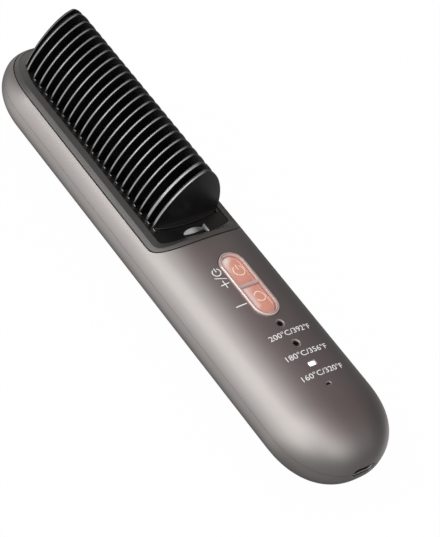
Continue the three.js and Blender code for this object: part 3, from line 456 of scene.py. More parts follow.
def body_form(name, inset=0.0, ring_steps=RING_STEPS, end_steps=END_STEPS):
    shares = [math.sin(math.pi / 2 * k / end_steps) for k in range(end_steps)] + [TIP_SHARE]
    xs = [HEAD_START_X - (HEAD_ROUND - inset) * share for share in reversed(shares)]
    xs += [TAIL_START_X + (TAIL_ROUND - inset) * share for share in shares]
    return new_object(name, *loft([body_loop(x, inset, ring_steps) for x in xs]))


def body_normal(place):
    """The form's own normal at a point of its outer surface, or None away from it."""
    x, y, z = (float(c) for c in place)
    half_width, rise, depth = body_section(x)
    power, tall = (CROWN_POWER, rise) if z >= WIDEST_Z else (BACK_POWER, depth)
    if half_width < 1e-3 or tall < 1e-3 or z < 0.01:
        return None
    across, up = abs(y) / half_width, abs(z - WIDEST_Z) / tall
    level_of = across**power + up**power
    if abs(level_of - 1) * min(half_width, tall) / power > FORM_TOLERANCE:
        return None
    if x < HEAD_START_X:
        length, plan_power, side_power, side = HEAD_ROUND, HEAD_PLAN_POWER, HEAD_SIDE_POWER, -1
    else:
        length, plan_power, side_power, side = TAIL_ROUND, TAIL_PLAN_POWER, TAIL_SIDE_POWER, 1
    run = max(HEAD_START_X - x, x - TAIL_START_X, 0) / length
    slope = 0.0
    if run > 0:
        plan = run ** (plan_power - 1) / max(1 - run**plan_power, 1e-9) / length
        tilt = run ** (side_power - 1) / max(1 - run**side_power, 1e-9) / length
        slope = (across**power * plan + up**power * tilt) * side
    normal = np.array([
        slope,
        math.copysign(across ** (power - 1) / half_width, y),
        math.copysign(up ** (power - 1) / tall, z - WIDEST_Z),
    ])
    return normal / np.linalg.norm(normal)


def bezel_outline(inset):
    """Plan outline of the bezel, moved inwards by inset: superelliptic at both ends."""
    half_width = BEZEL_HALF_WIDTH - inset
    tail_length = BEZEL_TAIL_ROUND - inset * BEZEL_TAIL_INSET_SHARE
    tail_power = BEZEL_TAIL_POWER * (1 + inset / BEZEL_TAIL_ROUND)
    ends = (
        (BEZEL_START_X, inset - BEZEL_HEAD_LENGTH, BEZEL_HEAD_POWER, math.pi / 2),
        (BEZEL_TAIL_X - BEZEL_TAIL_ROUND, tail_length, tail_power, -math.pi / 2),
    )
    outline = []
    for start_x, length, power, first_turn in ends:
        for k in range(OUTLINE_STEPS + 1):
            turn = first_turn + math.pi * k / OUTLINE_STEPS
            x = start_x + length * abs(math.cos(turn)) ** (2 / power)
            outline.append((x, half_width * signed_power(math.sin(turn), 2 / power)))
    return outline


def capsule_outline(x, y, length, half_width, shrink=0.0):
    """A capsule outline along the first axis."""
    radius, reach = half_width - shrink, length / 2 - half_width
    outline = []
    for side in (1, -1):
        for k in range(CAPSULE_STEPS + 1):
            turn = -math.pi / 2 + math.pi * k / CAPSULE_STEPS
            along, across = reach + radius * math.cos(turn), radius * math.sin(turn)
            outline.append((x + side * along, y + side * across))
    return outline


def disc_outline(x, y, radius, steps=64):
    turns = [2 * math.pi * k / steps for k in range(steps)]
    return [(x + radius * math.cos(t), y + radius * math.sin(t)) for t in turns]


def edge_levels(shrink, top, radius, steps=5):
    """(shrink, height) pairs round a quarter edge, from its side up to its top."""
    turns = [math.pi / 2 * k / steps for k in range(steps + 1)]
    return [(shrink + radius * (1 - math.cos(t)), top - radius + radius * math.sin(t)) for t in turns]


# Materials


def ramp(nodes, low, high, start=0.3, end=0.7):
    node = nodes.new("ShaderNodeValToRGB")
    node.color_ramp.elements[0].position = start
    node.color_ramp.elements[1].position = end
    node.color_ramp.elements[0].color = (*low, 1)
    node.color_ramp.elements[1].color = (*high, 1)
    return node


def noise(nodes, links, place, scale, detail=3.0, stretch=None):
    node = nodes.new("ShaderNodeTexNoise")
    node.inputs["Scale"].default_value = scale
    node.inputs["Detail"].default_value = detail
    source = place
    if stretch:
        mapping = nodes.new("ShaderNodeMapping")
        mapping.inputs["Scale"].default_value = stretch
        links.new(place, mapping.inputs["Vector"])
        source = mapping.outputs["Vector"]
    links.new(source, node.inputs["Vector"])
    return node


def math_node(nodes, links, operation, *values):
    """The result of a math node whose inputs are sockets or numbers."""
    node = nodes.new("ShaderNodeMath")
    node.operation = operation
    for entry, value in zip(node.inputs, values):
        if isinstance(value, bpy.types.NodeSocket):
            links.new(value, entry)
        else:
            entry.default_value = value
    return node.outputs[0]


def facing_share(nodes, links, source, direction):
    """How far a vector turns towards a direction."""
    node = nodes.new("ShaderNodeVectorMath")
    node.operation = "DOT_PRODUCT"
    node.inputs[1].default_value = direction
    links.new(source, node.inputs[0])
    return node.outputs["Value"]


def mix_shaders(nodes, links, share, first, second):
    node = nodes.new("ShaderNodeMixShader")
    for entry, socket in zip(node.inputs, (share, first, second)):
        links.new(socket, entry)
    return node.outputs[0]


def linear(code):
    """A colour written as on a screen, turned to the renderer's linear scale."""
    parts = [(code >> shift & 255) / 255 for shift in (16, 8, 0)]
    return tuple(c / 12.92 if c <= 0.04045 else ((c + 0.055) / 1.055) ** 2.4 for c in parts)


def finish(name, low, high, rough, metallic=0.0, tone_scale=60, grain_scale=2500, bump=0.06,
           stretch=None, coat=0.0, coat_rough=0.05, specular=0.5):
    """A moulded, painted or metal surface: slow colour drift, grain in roughness and in relief."""
    material = bpy.data.materials.new(name)
    material.use_nodes = True
    nodes, links = material.node_tree.nodes, material.node_tree.links
    shader = nodes["Principled BSDF"]
    shader.inputs["Metallic"].default_value = metallic
    shader.inputs["Specular IOR Level"].default_value = specular
    shader.inputs["Coat Weight"].default_value = coat
    shader.inputs["Coat Roughness"].default_value = coat_rough
    place = nodes.new("ShaderNodeTexCoord").outputs["Object"]
    drift = noise(nodes, links, place, tone_scale, 4.0)
    grain = noise(nodes, links, place, grain_scale, 2.0, stretch)
    tones = ramp(nodes, linear(low), linear(high))
    links.new(drift.outputs["Fac"], tones.inputs["Fac"])
    links.new(tones.outputs["Color"], shader.inputs["Base Color"])
    spread = nodes.new("ShaderNodeMapRange")
    spread.inputs["To Min"].default_value = rough[0]
    spread.inputs["To Max"].default_value = rough[1]
    links.new(grain.outputs["Fac"], spread.inputs["Value"])
    links.new(spread.outputs["Result"], shader.inputs["Roughness"])
    relief = nodes.new("ShaderNodeBump")
    relief.inputs["Strength"].default_value = bump
    relief.inputs["Distance"].default_value = RELIEF_DEPTH
    links.new(grain.outputs["Fac"], relief.inputs["Height"])
    links.new(relief.outputs["Normal"], shader.inputs["Normal"])
    return material


def paint_facing_light(material, painted_tone, towards, start, end):
    """Painted highlight and shade: another tone, lighter or darker, on the faces that turn towards a
    direction of the piece.
    """
    nodes, links = material.node_tree.nodes, material.node_tree.links
    base = nodes["Principled BSDF"].inputs["Base Color"]
    tones = base.links[0].from_socket
    facing = facing_share(nodes, links, nodes.new("ShaderNodeTexCoord").outputs["Normal"], towards)
    share = nodes.new("ShaderNodeMapRange")
    share.interpolation_type = "SMOOTHSTEP"
    share.inputs["From Min"].default_value = start
    share.inputs["From Max"].default_value = end
    links.new(facing, share.inputs["Value"])
    mix = nodes.new("ShaderNodeMix")
    mix.data_type = "RGBA"
    links.new(share.outputs["Result"], mix.inputs["Factor"])
    links.new(tones, mix.inputs[6])
    mix.inputs[7].default_value = (*linear(painted_tone), 1)
    links.new(mix.outputs[2], base)


def glowing(name, low, high, glow, strength):
    material = finish(name, low, high, (0.25, 0.35), tone_scale=900)
    shader = material.node_tree.nodes["Principled BSDF"]
    shader.inputs["Emission Color"].default_value = (*linear(glow), 1)
    shader.inputs["Emission Strength"].default_value = strength
    return material


satin = finish("satin_paint", 0x95908E, 0x9B9694, (0.4, 0.46), metallic=0.93, tone_scale=25,
               grain_scale=5000, bump=0.05)
bezel_grey = finish("bezel_satin", 0x494746, 0x514F4D, (0.38, 0.48), metallic=0.25, grain_scale=3500)
# Painted highlight: the bezel's rim is a lighter, more metallic copy of the band's grey.
rim_painted_highlight = finish("bezel_rim_painted_highlight", 0x565452, 0x605E5C, (0.34, 0.44), metallic=0.4, grain_scale=4500)
catch_grey = finish("polished_catch", 0xCCCCCC, 0xD6D6D6, (0.3, 0.36), metallic=0.6, bump=0.02)
# Painted highlight: a near-white tone on the part of the scoop away from the handle.
scoop_highlight_and_shade = finish("scoop_painted_highlight_and_shade", 0xD6D6D6, 0xE2E2E2, (0.3, 0.36), bump=0.02)
# Painted shade: the scoop darkens on its faces that turn towards −Y.
paint_facing_light(scoop_highlight_and_shade, 0x5C5C5C, (0, -1, 0), -0.06, 0.22)
# Painted highlight: a less metallic copy of the body's paint that reads as a light ring round the windows.
window_ring_painted_highlight = finish("window_ring_painted_highlight", 0x928C89, 0x9C9693, (0.4, 0.5), metallic=0.4, grain_scale=4000,
                     bump=0.02)
tray_black = finish("tray_black", 0x171616, 0x1E1D1D, (0.3, 0.42), grain_scale=3000)
fin_black = finish("fin_moulding", 0x111010, 0x171616, (0.2, 0.28), tone_scale=120, grain_scale=3000,
                   bump=0.04, specular=1.0, coat=0.6, coat_rough=0.15)
# Painted highlight: grey metal on the black fins' rims, so that they show light lines.
fin_rim_painted_highlight = finish("fin_rim_highlight_metal", 0x7A7A7A, 0x868686, (0.24, 0.32), metallic=0.9, grain_scale=3000,
                  bump=0.03)
# Matte sides of the fins, also used as painted shade in the head fin's groove.
fin_face = finish("fin_moulding_face", 0x0B0B0B, 0x111010, (0.3, 0.4), tone_scale=120, grain_scale=4000,
                  bump=0.06)
core_coat = finish("core_coating", 0x181818, 0x222121, (0.4, 0.5), metallic=0.4, grain_scale=6000,
                   bump=0.15)
rose = finish("key_rose", 0xE39C89, 0xEAA694, (0.26, 0.34), metallic=0.12, tone_scale=40,
              grain_scale=6000, bump=0.03, coat=1.0, coat_rough=0.12)
# Painted highlight: a pale tone on the keys' faces that turn towards the head end and the −Y side.
paint_facing_light(rose, 0xFCEAE6, (-0.68, -0.68, 0.27), 0.32, 0.54)
rim_pink = finish("key_rim_clear", 0xD8C0BA, 0xE0C9C3, (0.2, 0.28), metallic=0.3, tone_scale=80,
                  bump=0.02, coat=1.0, coat_rough=0.04)
# Painted shade: a darker tone for the floor of the key rim's groove.
rim_groove_painted_shade = finish("key_rim_groove_painted_shade", 0x6E4F49, 0x7A5A53, (0.3, 0.4), tone_scale=80)
ink = finish("legend_ink", 0xE9E8E6, 0xF6F5F3, (0.45, 0.55), tone_scale=800)
key_ink = finish("key_legend", 0xF3E6C8, 0xFBF3DC, (0.3, 0.4), tone_scale=800)
pipe_dark = finish("pipe_smoked", 0x100F0F, 0x171615, (0.2, 0.3), tone_scale=500)
pipe_lit = glowing("pipe_lit", 0xF2F2F2, 0xFFFFFF, 0xFFFFFF, 1.4)
steel = finish("socket_steel", 0xB8B8BA, 0xC4C4C6, (0.3, 0.4), metallic=0.6, grain_scale=1500,
               stretch=(0.1, 1, 1))
sheet = finish("sheet_steel", 0xB0B2B2, 0xC4C6C6, (0.25, 0.4), metallic=1.0, grain_scale=1200,
               stretch=(0.05, 1, 1))
# Black plastic of the tongue, and painted shade on the socket's inner walls.
tongue_black_and_socket_shade = finish("tongue_black_and_socket_shade", 0x121212, 0x1C1C1C, (0.4, 0.5))
inner_black = finish("inner_black", 0x161616, 0x202020, (0.45, 0.6), bump=0.12)
inner_white = finish("inner_white", 0xD2CFC6, 0xDEDBD4, (0.5, 0.65), bump=0.1)
ceramic = finish("heater_ceramic", 0xDEDACF, 0xECE8DE, (0.6, 0.75), grain_scale=1800, bump=0.2)
mask_green = finish("board_mask", 0x174A2E, 0x22653F, (0.35, 0.5), tone_scale=400, coat=0.5)
wrap_blue = finish("cell_wrap", 0x2563A4, 0x2E72B8, (0.3, 0.4), grain_scale=900, coat=0.5)

# Pieces that keep the form of their solid
led_names = tuple(f"indicator_led_{name}" for name in WINDOW_NAMES)
kept_forms = (
    (core_coat, ("heating_core",)),
    (sheet, ("heat_shield", "heater_wedge")),
    (ceramic, ("ceramic_heater",)),
    (inner_black, ("thermistor", "power_plus_switch", "minus_switch", "battery_cradle")),
    (inner_white, ("thermal_fuse", *led_names)),
    (mask_green, ("main_board", "charge_board")),
    (wrap_blue, ("battery_cell_left", "battery_cell_right")),
)
for kept_finish, kept_names in kept_forms:
    for kept_name in kept_names:
        kept_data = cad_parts[kept_name].data
        kept_data.materials.clear()
        kept_data.materials.append(kept_finish)


# Camera


def place_camera():
    right = Vector((math.cos(CAMERA_TURN), math.sin(CAMERA_TURN), 0))
    ahead = Vector((-math.sin(CAMERA_TURN) * math.cos(CAMERA_TILT),
                    math.cos(CAMERA_TURN) * math.cos(CAMERA_TILT), -math.sin(CAMERA_TILT)))
    up = right.cross(ahead)
    turned_right = right * math.cos(CAMERA_ROLL) + up * math.sin(CAMERA_ROLL)
    turned_up = up * math.cos(CAMERA_ROLL) - right * math.sin(CAMERA_ROLL)
    lens = bpy.data.cameras.new("camera")
    lens.lens = CAMERA_LENS
    lens.sensor_width = SENSOR
    lens.clip_start = 0.01
    camera = add_to_scene("camera", lens)
    matrix = Matrix((turned_right, turned_up, -ahead)).transposed().to_4x4()
    matrix.translation = (Vector(CAMERA_TARGET) - ahead * CAMERA_DISTANCE) * MM
    camera.matrix_world = matrix
    bpy.context.scene.camera = camera


place_camera()


# Shells


def opening_levels(outline, chamfer, surface):
    """Cutter loops that open the skin with a small chamfer along its surface."""
    wide = outline(-chamfer)
    return [
        level(outline(0), PARTING_Z),
        level(outline(0), lambda x, y: surface(x, y) - chamfer),
        level(wide, lambda x, y: surface(x, y)),
        level(wide, ABOVE_Z),
    ]


def window_outline(k, grow):
    """A round window, drawn out across the handle where it has a reach."""
    radius, reach = WINDOW_FORMS[k]
    if k == LIT_WINDOW:
        corner = LIT_WINDOW_CORNER + grow
        return rounded_box(WINDOW_X[k], 0, radius + grow, radius + reach + grow, corner)
    outline = []
    for side in (1, -1):
        for step in range(WINDOW_STEPS_ROUND + 1):
            turn = math.pi * step / WINDOW_STEPS_ROUND
            across = reach + (radius + grow) * math.sin(turn)
            outline.append((WINDOW_X[k] + side * (radius + grow) * math.cos(turn), side * across))
    return outline


def rounded_box(x, y, half_x, half_y, radius, steps=12):
    outline = []
    for corner in range(4):
        centre_x = x + (half_x - radius) * (1 if corner in (0, 3) else -1)
        centre_y = y + (half_y - radius) * (1 if corner < 2 else -1)
        for k in range(steps + 1):
            turn = math.pi / 2 * (corner + k / steps)
            outline.append((centre_x + radius * math.cos(turn), centre_y + radius * math.sin(turn)))
    return outline


def window_cutter(k):
    wide, chamfer = WINDOW_STEPS[k]
    return new_object("cut_window", *loft([
        level(window_outline(k, -WINDOW_FIT), PARTING_Z),
        level(window_outline(k, -WINDOW_FIT), CROWN_Z - WINDOW_SINK),
        level(window_outline(k, wide), CROWN_Z - WINDOW_SINK),
        level(window_outline(k, wide), lambda x, y: crown_height(x, y) - chamfer),
        level(window_outline(k, wide + chamfer), lambda x, y: crown_height(x, y)),
        level(window_outline(k, wide + chamfer), ABOVE_Z),
    ]))


def on_window_edge(face):
    """Whether a face of the cover is a window's step or chamfer, which takes the painted highlight ring."""
    x, y, z = face.center / MM
    near = any(math.hypot(x - at, y) < WINDOW_NEAR for at in WINDOW_X)
    return near and z > CROWN_Z - WINDOW_SINK - 0.1 and 0.25 < face.normal.z < 0.95


def tail_x(y, z):
    """How far back the tail's surface lies at a point of the charging opening."""
    low, high = TAIL_START_X, BODY_LENGTH / 2
    for _ in range(40):
        middle = (low + high) / 2
        half_width, rise, depth = body_section(middle)
        tall, power = (rise, CROWN_POWER) if z >= WIDEST_Z else (depth, BACK_POWER)
        inside = tall > 0 and (abs(y) / half_width) ** power + (abs(z - WIDEST_Z) / tall) ** power < 1
        low, high = (middle, high) if inside else (low, middle)
    return low


def port_section(grow):
    return capsule_outline(0, PORT_Z, SOCKET_WIDTH + 2 * grow, SOCKET_HEIGHT / 2 + grow)


def port_cutter():
    inner, outer = port_section(PORT_CLEARANCE), port_section(PORT_CLEARANCE + PORT_CHAMFER)
    return new_object("cut_port", *loft([
        section_at(SOCKET_START_X - PORT_OVERRUN, inner),
        [(tail_x(y, z) - PORT_CHAMFER, y, z) for y, z in inner],
        [(tail_x(y, z), y, z) for y, z in outer],
        section_at(BODY_LENGTH / 2 + PORT_OVERRUN, outer),
    ]))


def key_hole(grow):
    return capsule_outline(KEYS_X, 0, KEY_RIM_LENGTH, KEY_RIM_HALF_WIDTH, -KEY_RIM_GAP + grow)


def upper_shell():
    shell = body_form("upper_shell_skin")
    reach = BODY_LENGTH
    below = block("cut_below", (-reach, -reach, BELOW_Z), (reach, reach, PARTING_Z + PARTING_GAP / 2))
    rebate = body_form("cut_rebate", LIP_INSET - LIP_CLEARANCE, *INNER_STEPS)
    lip_room = block("lip_room", (-reach, -reach, BELOW_Z), (reach, reach, LIP_TOP_Z + LIP_CLEARANCE))
    carve(rebate, ("INTERSECT", lip_room))
    bezel_cut = new_object("cut_bezel", *loft(opening_levels(bezel_outline, OPENING_CHAMFER, crown_height)))
    key_cut = new_object("cut_keys", *loft(opening_levels(key_hole, OPENING_CHAMFER, crown_height)))
    windows = [window_cutter(k) for k in range(len(WINDOW_X))]
    hollow = body_form("cut_hollow", WALL, *INNER_STEPS)
    cut(shell, below, hollow, rebate, bezel_cut, key_cut, *windows, port_cutter())
    dress(smooth(shell, body_normal), satin, "satin_body", "housing", "upper_shell")
    # The windows' steps and chamfers take the painted highlight ring.
    add_finishes(shell, on_window_edge, window_ring_painted_highlight)


def back_shell():
    shell = body_form("back_shell_skin")
    reach = BODY_LENGTH
    above = block("cut_above", (-reach, -reach, PARTING_Z - PARTING_GAP / 2), (reach, reach, ABOVE_Z))
    hollow = body_form("cut_hollow", WALL, *INNER_STEPS)
    cut(shell, above)
    lip = body_form("back_lip", LIP_INSET, *INNER_STEPS)
    lip_band = block("lip_band", (-reach, -reach, PARTING_Z - LIP_ROOT), (reach, reach, LIP_TOP_Z))
    carve(lip, ("INTERSECT", lip_band))
    seam = body_form("back_seam", SEAM_DEPTH, *COPY_STEPS)
    seam_top = PARTING_Z + PARTING_GAP / 2 - SEAM_SINK
    seam_band = block("seam_band", (-reach, -reach, PARTING_Z - SEAM_BAND), (reach, reach, seam_top))
    carve(seam, ("INTERSECT", seam_band))
    carve(shell, ("UNION", seam), ("UNION", lip), ("DIFFERENCE", hollow), ("DIFFERENCE", port_cutter()))
    return dress(smooth(shell, body_normal), satin, "satin_body", "housing", "back_shell")


# Bezel and tray


def bezel_loops():
    """Sections of the bezel along its outline, from its outer foot over rim and band to its inner foot."""
    rows = []

    def row(inset, height):
        rows.append(level(bezel_outline(inset), height))

    def low(x, y):
        return max(crown_height(x, y) - BEZEL_DEPTH, BEZEL_LOW_Z)

    row(BEZEL_GAP, low)
    for shrink, drop in edge_levels(0, 0, RIM_EDGE):
        row(BEZEL_GAP + shrink, lambda x, y, drop=drop: crown_height(x, y) + drop)
    for shrink, drop in reversed(edge_levels(0, 0, RIM_EDGE)):
        row(RIM_WIDTH - shrink, lambda x, y, drop=drop: crown_height(x, y) + drop)
    top = level(bezel_outline(RIM_WIDTH), lambda x, y: crown_height(x, y) - RIM_STEP)
    foot = level(bezel_outline(RIM_WIDTH + BAND_WIDTH),
                 lambda x, y: min(BAND_LOW_Z, crown_height(x, y) - BAND_SINK))
    for k in range(BAND_STEPS + 1):
        share = k / BAND_STEPS
        rows.append([tuple(a + (b - a) * share for a, b in zip(p, q)) for p, q in zip(top, foot)])
    row(RIM_WIDTH + BAND_WIDTH, low)
    return rows


def scoop():
    """A flat ellipsoid that cuts the tray and the bezel's foot."""
    loops = []
    for k in range(1, SCOOP_STEPS):
        turn = -math.pi / 2 + math.pi * k / SCOOP_STEPS
        size_x, size_y = SCOOP_SIZE[0] * math.cos(turn), SCOOP_SIZE[1] * math.cos(turn)
        outline = [(SCOOP[0] + size_x * x, SCOOP[1] + size_y * y) for x, y in disc_outline(0, 0, 1)]
        loops.append(level(outline, SCOOP[2] + SCOOP_SIZE[2] * math.sin(turn)))
    return new_object("cut_scoop", *loft(loops))


def in_scoop(face):
    """Whether a face's centre lies on the part of the scoop, away from the handle, that takes the painted
    highlight.
    """
    place = [(a - b) / c for a, b, c in zip(np.array(face.center) / MM, SCOOP, SCOOP_SIZE)]
    on_form = abs(sum(share * share for share in place) - 1) < SCOOP_TOLERANCE
    return on_form and place[0] < SCOOP_HIGHLIGHT_TO


def bezel_part(face):
    """Which finish a face of the bezel takes: 0 band, 1 rim painted lighter as a highlight, 2 scoop with
    its painted highlight and shade.
    """
    x, y, z = np.array(face.center) / MM
    return 2 if in_scoop(face) else z > crown_height(x, y) - RIM_STEP * RIM_HIGHLIGHT_SHARE


def comb_bezel():
    rows = bezel_loops()
    loops = [list(section) for section in zip(*rows)]
    points, faces = loft(loops, joined=True)
    ring = cut(new_object("comb_bezel_ring", points, faces), scoop())
    smooth(ring, angle=BEZEL_SMOOTH_ANGLE)
    dress(ring, bezel_grey, "bezel", "housing", "comb_bezel")
    # The rim and the scoop take their painted highlights.
    add_finishes(ring, bezel_part, rim_painted_highlight, scoop_highlight_and_shade)
    catch = prism_with_edge("bezel_catch", CATCH_LOW, CATCH_HIGH, CATCH_EDGE)
    dress(smooth(catch), catch_grey, "bezel", "housing")


def prism_with_edge(name, low, high, edge):
    (ax, ay, az), (bx, by, bz) = low, high
    centre = ((ax + bx) / 2, (ay + by) / 2)
    half = ((bx - ax) / 2, (by - ay) / 2)
    corner = max(min(half) * 0.8, edge * 1.2)
    loops = [level(rounded_box(*centre, *half, corner), az)]
    for shrink, z in edge_levels(0, bz, edge):
        loops.append(level(rounded_box(*centre, half[0] - shrink, half[1] - shrink, corner - shrink), z))
    return new_object(name, *loft(loops))


def sunken_form(name):
    """The body's form lowered to the tray's floor."""
    form = body_form(name, 0, *COPY_STEPS)
    form.data.transform(Matrix.Translation((0, 0, -(BAND_SINK + TRAY_STEP) * MM)))
    return form


def comb_tray():
    plate = prism("comb_tray_plate", bezel_outline(TRAY_INSET), TRAY_BOTTOM_Z, TRAY_TOP_Z)
    sunk = sunken_form("tray_form")
    reach = CORE_HALF_WIDTH + CORE_CLEARANCE
    slot = block("cut_core", (CORE_START_X - CORE_CLEARANCE, -reach, BELOW_Z),
                 (CORE_END_X + CORE_CLEARANCE, reach, ABOVE_Z))
    carve(plate, ("INTERSECT", sunk), ("DIFFERENCE", slot), ("DIFFERENCE", scoop()))
    dress(smooth(plate), tray_black, "tray", "housing", "comb_tray")
    # The scoop's cut in the tray takes the painted highlight and shade.
    add_finishes(plate, in_scoop, scoop_highlight_and_shade)


# Comb


def arch(half_width, rise, foot_z, steps=FIN_STEPS):
    share = 2 / FIN_POWER
    line = [(-half_width, foot_z)]
    for k in range(steps + 1):
        turn = math.pi * (1 - k / steps)
        y, z = half_width * signed_power(math.cos(turn), share), rise * max(math.sin(turn), 0) ** share
        line.append((y, FOOT_Z + z))
    line.append((half_width, foot_z))
    return line


def fin_rows(start_x, end_x, half=FIN_HALF_WIDTH, edges=(FIN_EDGE, FIN_EDGE)):
    """(x, arch line) rows across a fin's rim, with a rounded edge at both faces."""
    rows = []
    for shrink, depth in reversed(edge_levels(0, 0, edges[0])):
        rows.append((start_x - depth, arch(half - shrink, FIN_RISE - shrink, FIN_BOTTOM_Z)))
    for shrink, depth in edge_levels(0, 0, edges[1]):
        rows.append((end_x + depth, arch(half - shrink, FIN_RISE - shrink, FIN_BOTTOM_Z)))
    return rows


def band_fin(name, start_x, end_x):
    rows = fin_rows(start_x + FIN_DRAFT, end_x - FIN_DRAFT)
    inner = arch(CORE_HALF_WIDTH + CORE_CLEARANCE, CORE_RISE + CORE_CLEARANCE, FIN_BOTTOM_Z)
    rows = [(start_x, inner), *rows, (end_x, inner)]
    sections = [[(x, *line[k]) for x, line in rows] for k in range(len(inner))]
    return new_object(name, *loft(sections))


def head_fin(name, start_x, end_x):
    """A rim like the other fins' and the edge of the end plate, with a groove between them."""
    rows = fin_rows(start_x, start_x + PLATE_EDGE, FIN_HALF_WIDTH - HEAD_FIN_DRAFT, (PLATE_ROUND, FIN_EDGE))
    for x in (start_x + PLATE_EDGE + GROOVE_SLANT, end_x - FIN_RIM - GROOVE_SLANT):
        half = FIN_HALF_WIDTH - HEAD_FIN_DRAFT * (end_x - x) / (end_x - start_x)
        rows.append((x, arch(half - GROOVE_DEPTH, FIN_RISE - GROOVE_DEPTH, FIN_BOTTOM_Z)))
    rows += fin_rows(end_x - FIN_RIM, end_x, edges=(HEAD_RIM_ROUND, FIN_EDGE))
    return new_object(name, *loft([section_at(x, line) for x, line in rows]))


def closed_fin(name, start_x, end_x):
    rows = fin_rows(start_x, end_x, edges=(TAIL_FIN_ROUND, FIN_EDGE))
    return new_object(name, *loft([section_at(x, line) for x, line in rows]))


def plinth_form():
    """The tail fin's low foot, bowed towards the handle."""
    length = END_FIN_THICK / 2 + PLINTH_LENGTH
    loops = []
    for shrink, z in [(0, FIN_BOTTOM_Z)] + edge_levels(0, FIN_BOTTOM_Z + PLINTH_HEIGHT, PLINTH_EDGE):
        outline = []
        for k in range(FIN_STEPS + 1):
            turn = -math.pi / 2 + math.pi * k / FIN_STEPS
            across = (FIN_HALF_WIDTH - shrink) * math.sin(turn)
            outline.append((TAIL_FIN_X + (length - shrink) * math.cos(turn), across))
        loops.append(level(outline, z))
    return new_object("plinth", *loft(loops))


def add_nubs(fin, face_x, length):
    """A small rounded foot at each end of a fin, on the side that faces the handle."""
    for side in (-1, 1):
        low_y, high_y = sorted((side * FIN_HALF_WIDTH, side * (FIN_HALF_WIDTH - NUB_WIDTH)))
        nub = prism_with_edge("nub", (face_x - NUB_ROOT, low_y, FIN_BOTTOM_Z),
                              (face_x + length, high_y, FIN_BOTTOM_Z + NUB_HEIGHT), NUB_EDGE)
        carve(fin, ("UNION", nub))


def fin_part(face, number):
    """Which finish a fin's face takes: 0 edge, 1 side, and the head fin's groove as painted shade, 2 the
    rim's flat, grey metal as a painted highlight line.
    """
    if abs(face.normal.x) > 0.95:
        return 1
    x, y, z = face.center / MM
    across, up = (abs(y) + 0.1) / FIN_HALF_WIDTH, max(z - FOOT_Z + 0.1, 0) / FIN_RISE
    on_rim = across**FIN_POWER + up**FIN_POWER >= 1
    # Painted shade: the head fin's groove takes the darker matte side finish.
    if number == 1 and not on_rim:
        return 1 if x > HEAD_PLATE_END_X else 0
    return 2 if abs(face.normal.x) < 0.05 and on_rim else 0


def comb():
    for number in range(1, FIN_COUNT + 1):
        node = f"comb_fin_{number:02d}"
        low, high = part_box(node)
        nub_length = END_NUB_LENGTH if number > FIN_COUNT - 2 else NUB_LENGTH
        start_x = low.x / MM
        past = 0 if number == 1 else PLINTH_LENGTH if number == FIN_COUNT else nub_length
        end_x = high.x / MM - past
        name = f"{node}_moulded"
        if number == 1:
            fin = head_fin(name, start_x, end_x)
            cut(fin, sunken_form("cut_under"))
        elif number == FIN_COUNT:
            fin = closed_fin(name, start_x, end_x)
            plinth = plinth_form()
            carve(fin, ("UNION", plinth))
        else:
            fin = band_fin(name, start_x, end_x)
        if number > 1:
            add_nubs(fin, end_x, nub_length)
        dress(smooth(fin), fin_black, "fins", "housing", node)
        # The rims take the painted highlight lines, and the head fin's groove the painted shade.
        add_finishes(fin, lambda face: fin_part(face, number), fin_face, fin_rim_painted_highlight)


comb_bezel()
comb_tray()
comb()


# Keys


def key_outline(side, shrink):
    radius = max(KEY_RIM_HALF_WIDTH - KEY_RIM_WALL - shrink, 0.02)
    start_x = KEY_DIVIDER / 2 + shrink
    centre_x = KEY_RIM_LENGTH / 2 - KEY_RIM_HALF_WIDTH
    outline = [(start_x, -radius)]
    for k in range(CAPSULE_STEPS + 1):
        turn = -math.pi / 2 + math.pi * k / CAPSULE_STEPS
        outline.append((centre_x + radius * math.cos(turn), radius * math.sin(turn)))
    outline.append((start_x, radius))
    return [(KEYS_X + side * x, side * y) for x, y in outline]


def key_rim():
    def outline(shrink):
        return capsule_outline(KEYS_X, 0, KEY_RIM_LENGTH, KEY_RIM_HALF_WIDTH, shrink)

    top, groove = KEY_RIM_TOP_Z, KEY_RIM_TOP_Z - KEY_RIM_GROOVE
    steps = [(-KEY_RIM_FLANGE, KEY_RIM_BOTTOM_Z), (-KEY_RIM_FLANGE, KEY_RIM_FLANGE_Z)]
    steps.append((0, KEY_RIM_FLANGE_Z))
    steps += edge_levels(0, top, KEY_RIM_EDGE)
    steps += zip(KEY_RIM_GROOVE_PLAN, (top, groove, groove, top))
    rim = new_object("key_rim_moulded", *loft([level(outline(shrink), z) for shrink, z in steps]))
    edge, middle = KEY_HOLE_EDGE, KEY_HOLE_EDGE_MIDDLE
    hole = ((0, BELOW_Z), (0, top - edge), (middle, top - middle), (edge, top), (edge, ABOVE_Z))
    for side in (-1, 1):
        cut(rim, new_object("cut_key", *loft([level(key_outline(side, -grow), z) for grow, z in hole])))
    dress(smooth(rim), rim_pink, "key_rim", "housing", "key_rim")
    # The groove's floor takes the painted shade.
    add_finishes(rim, lambda face: abs(face.center.z / MM - groove) < KEY_RIM_GROOVE_TOLERANCE, rim_groove_painted_shade)


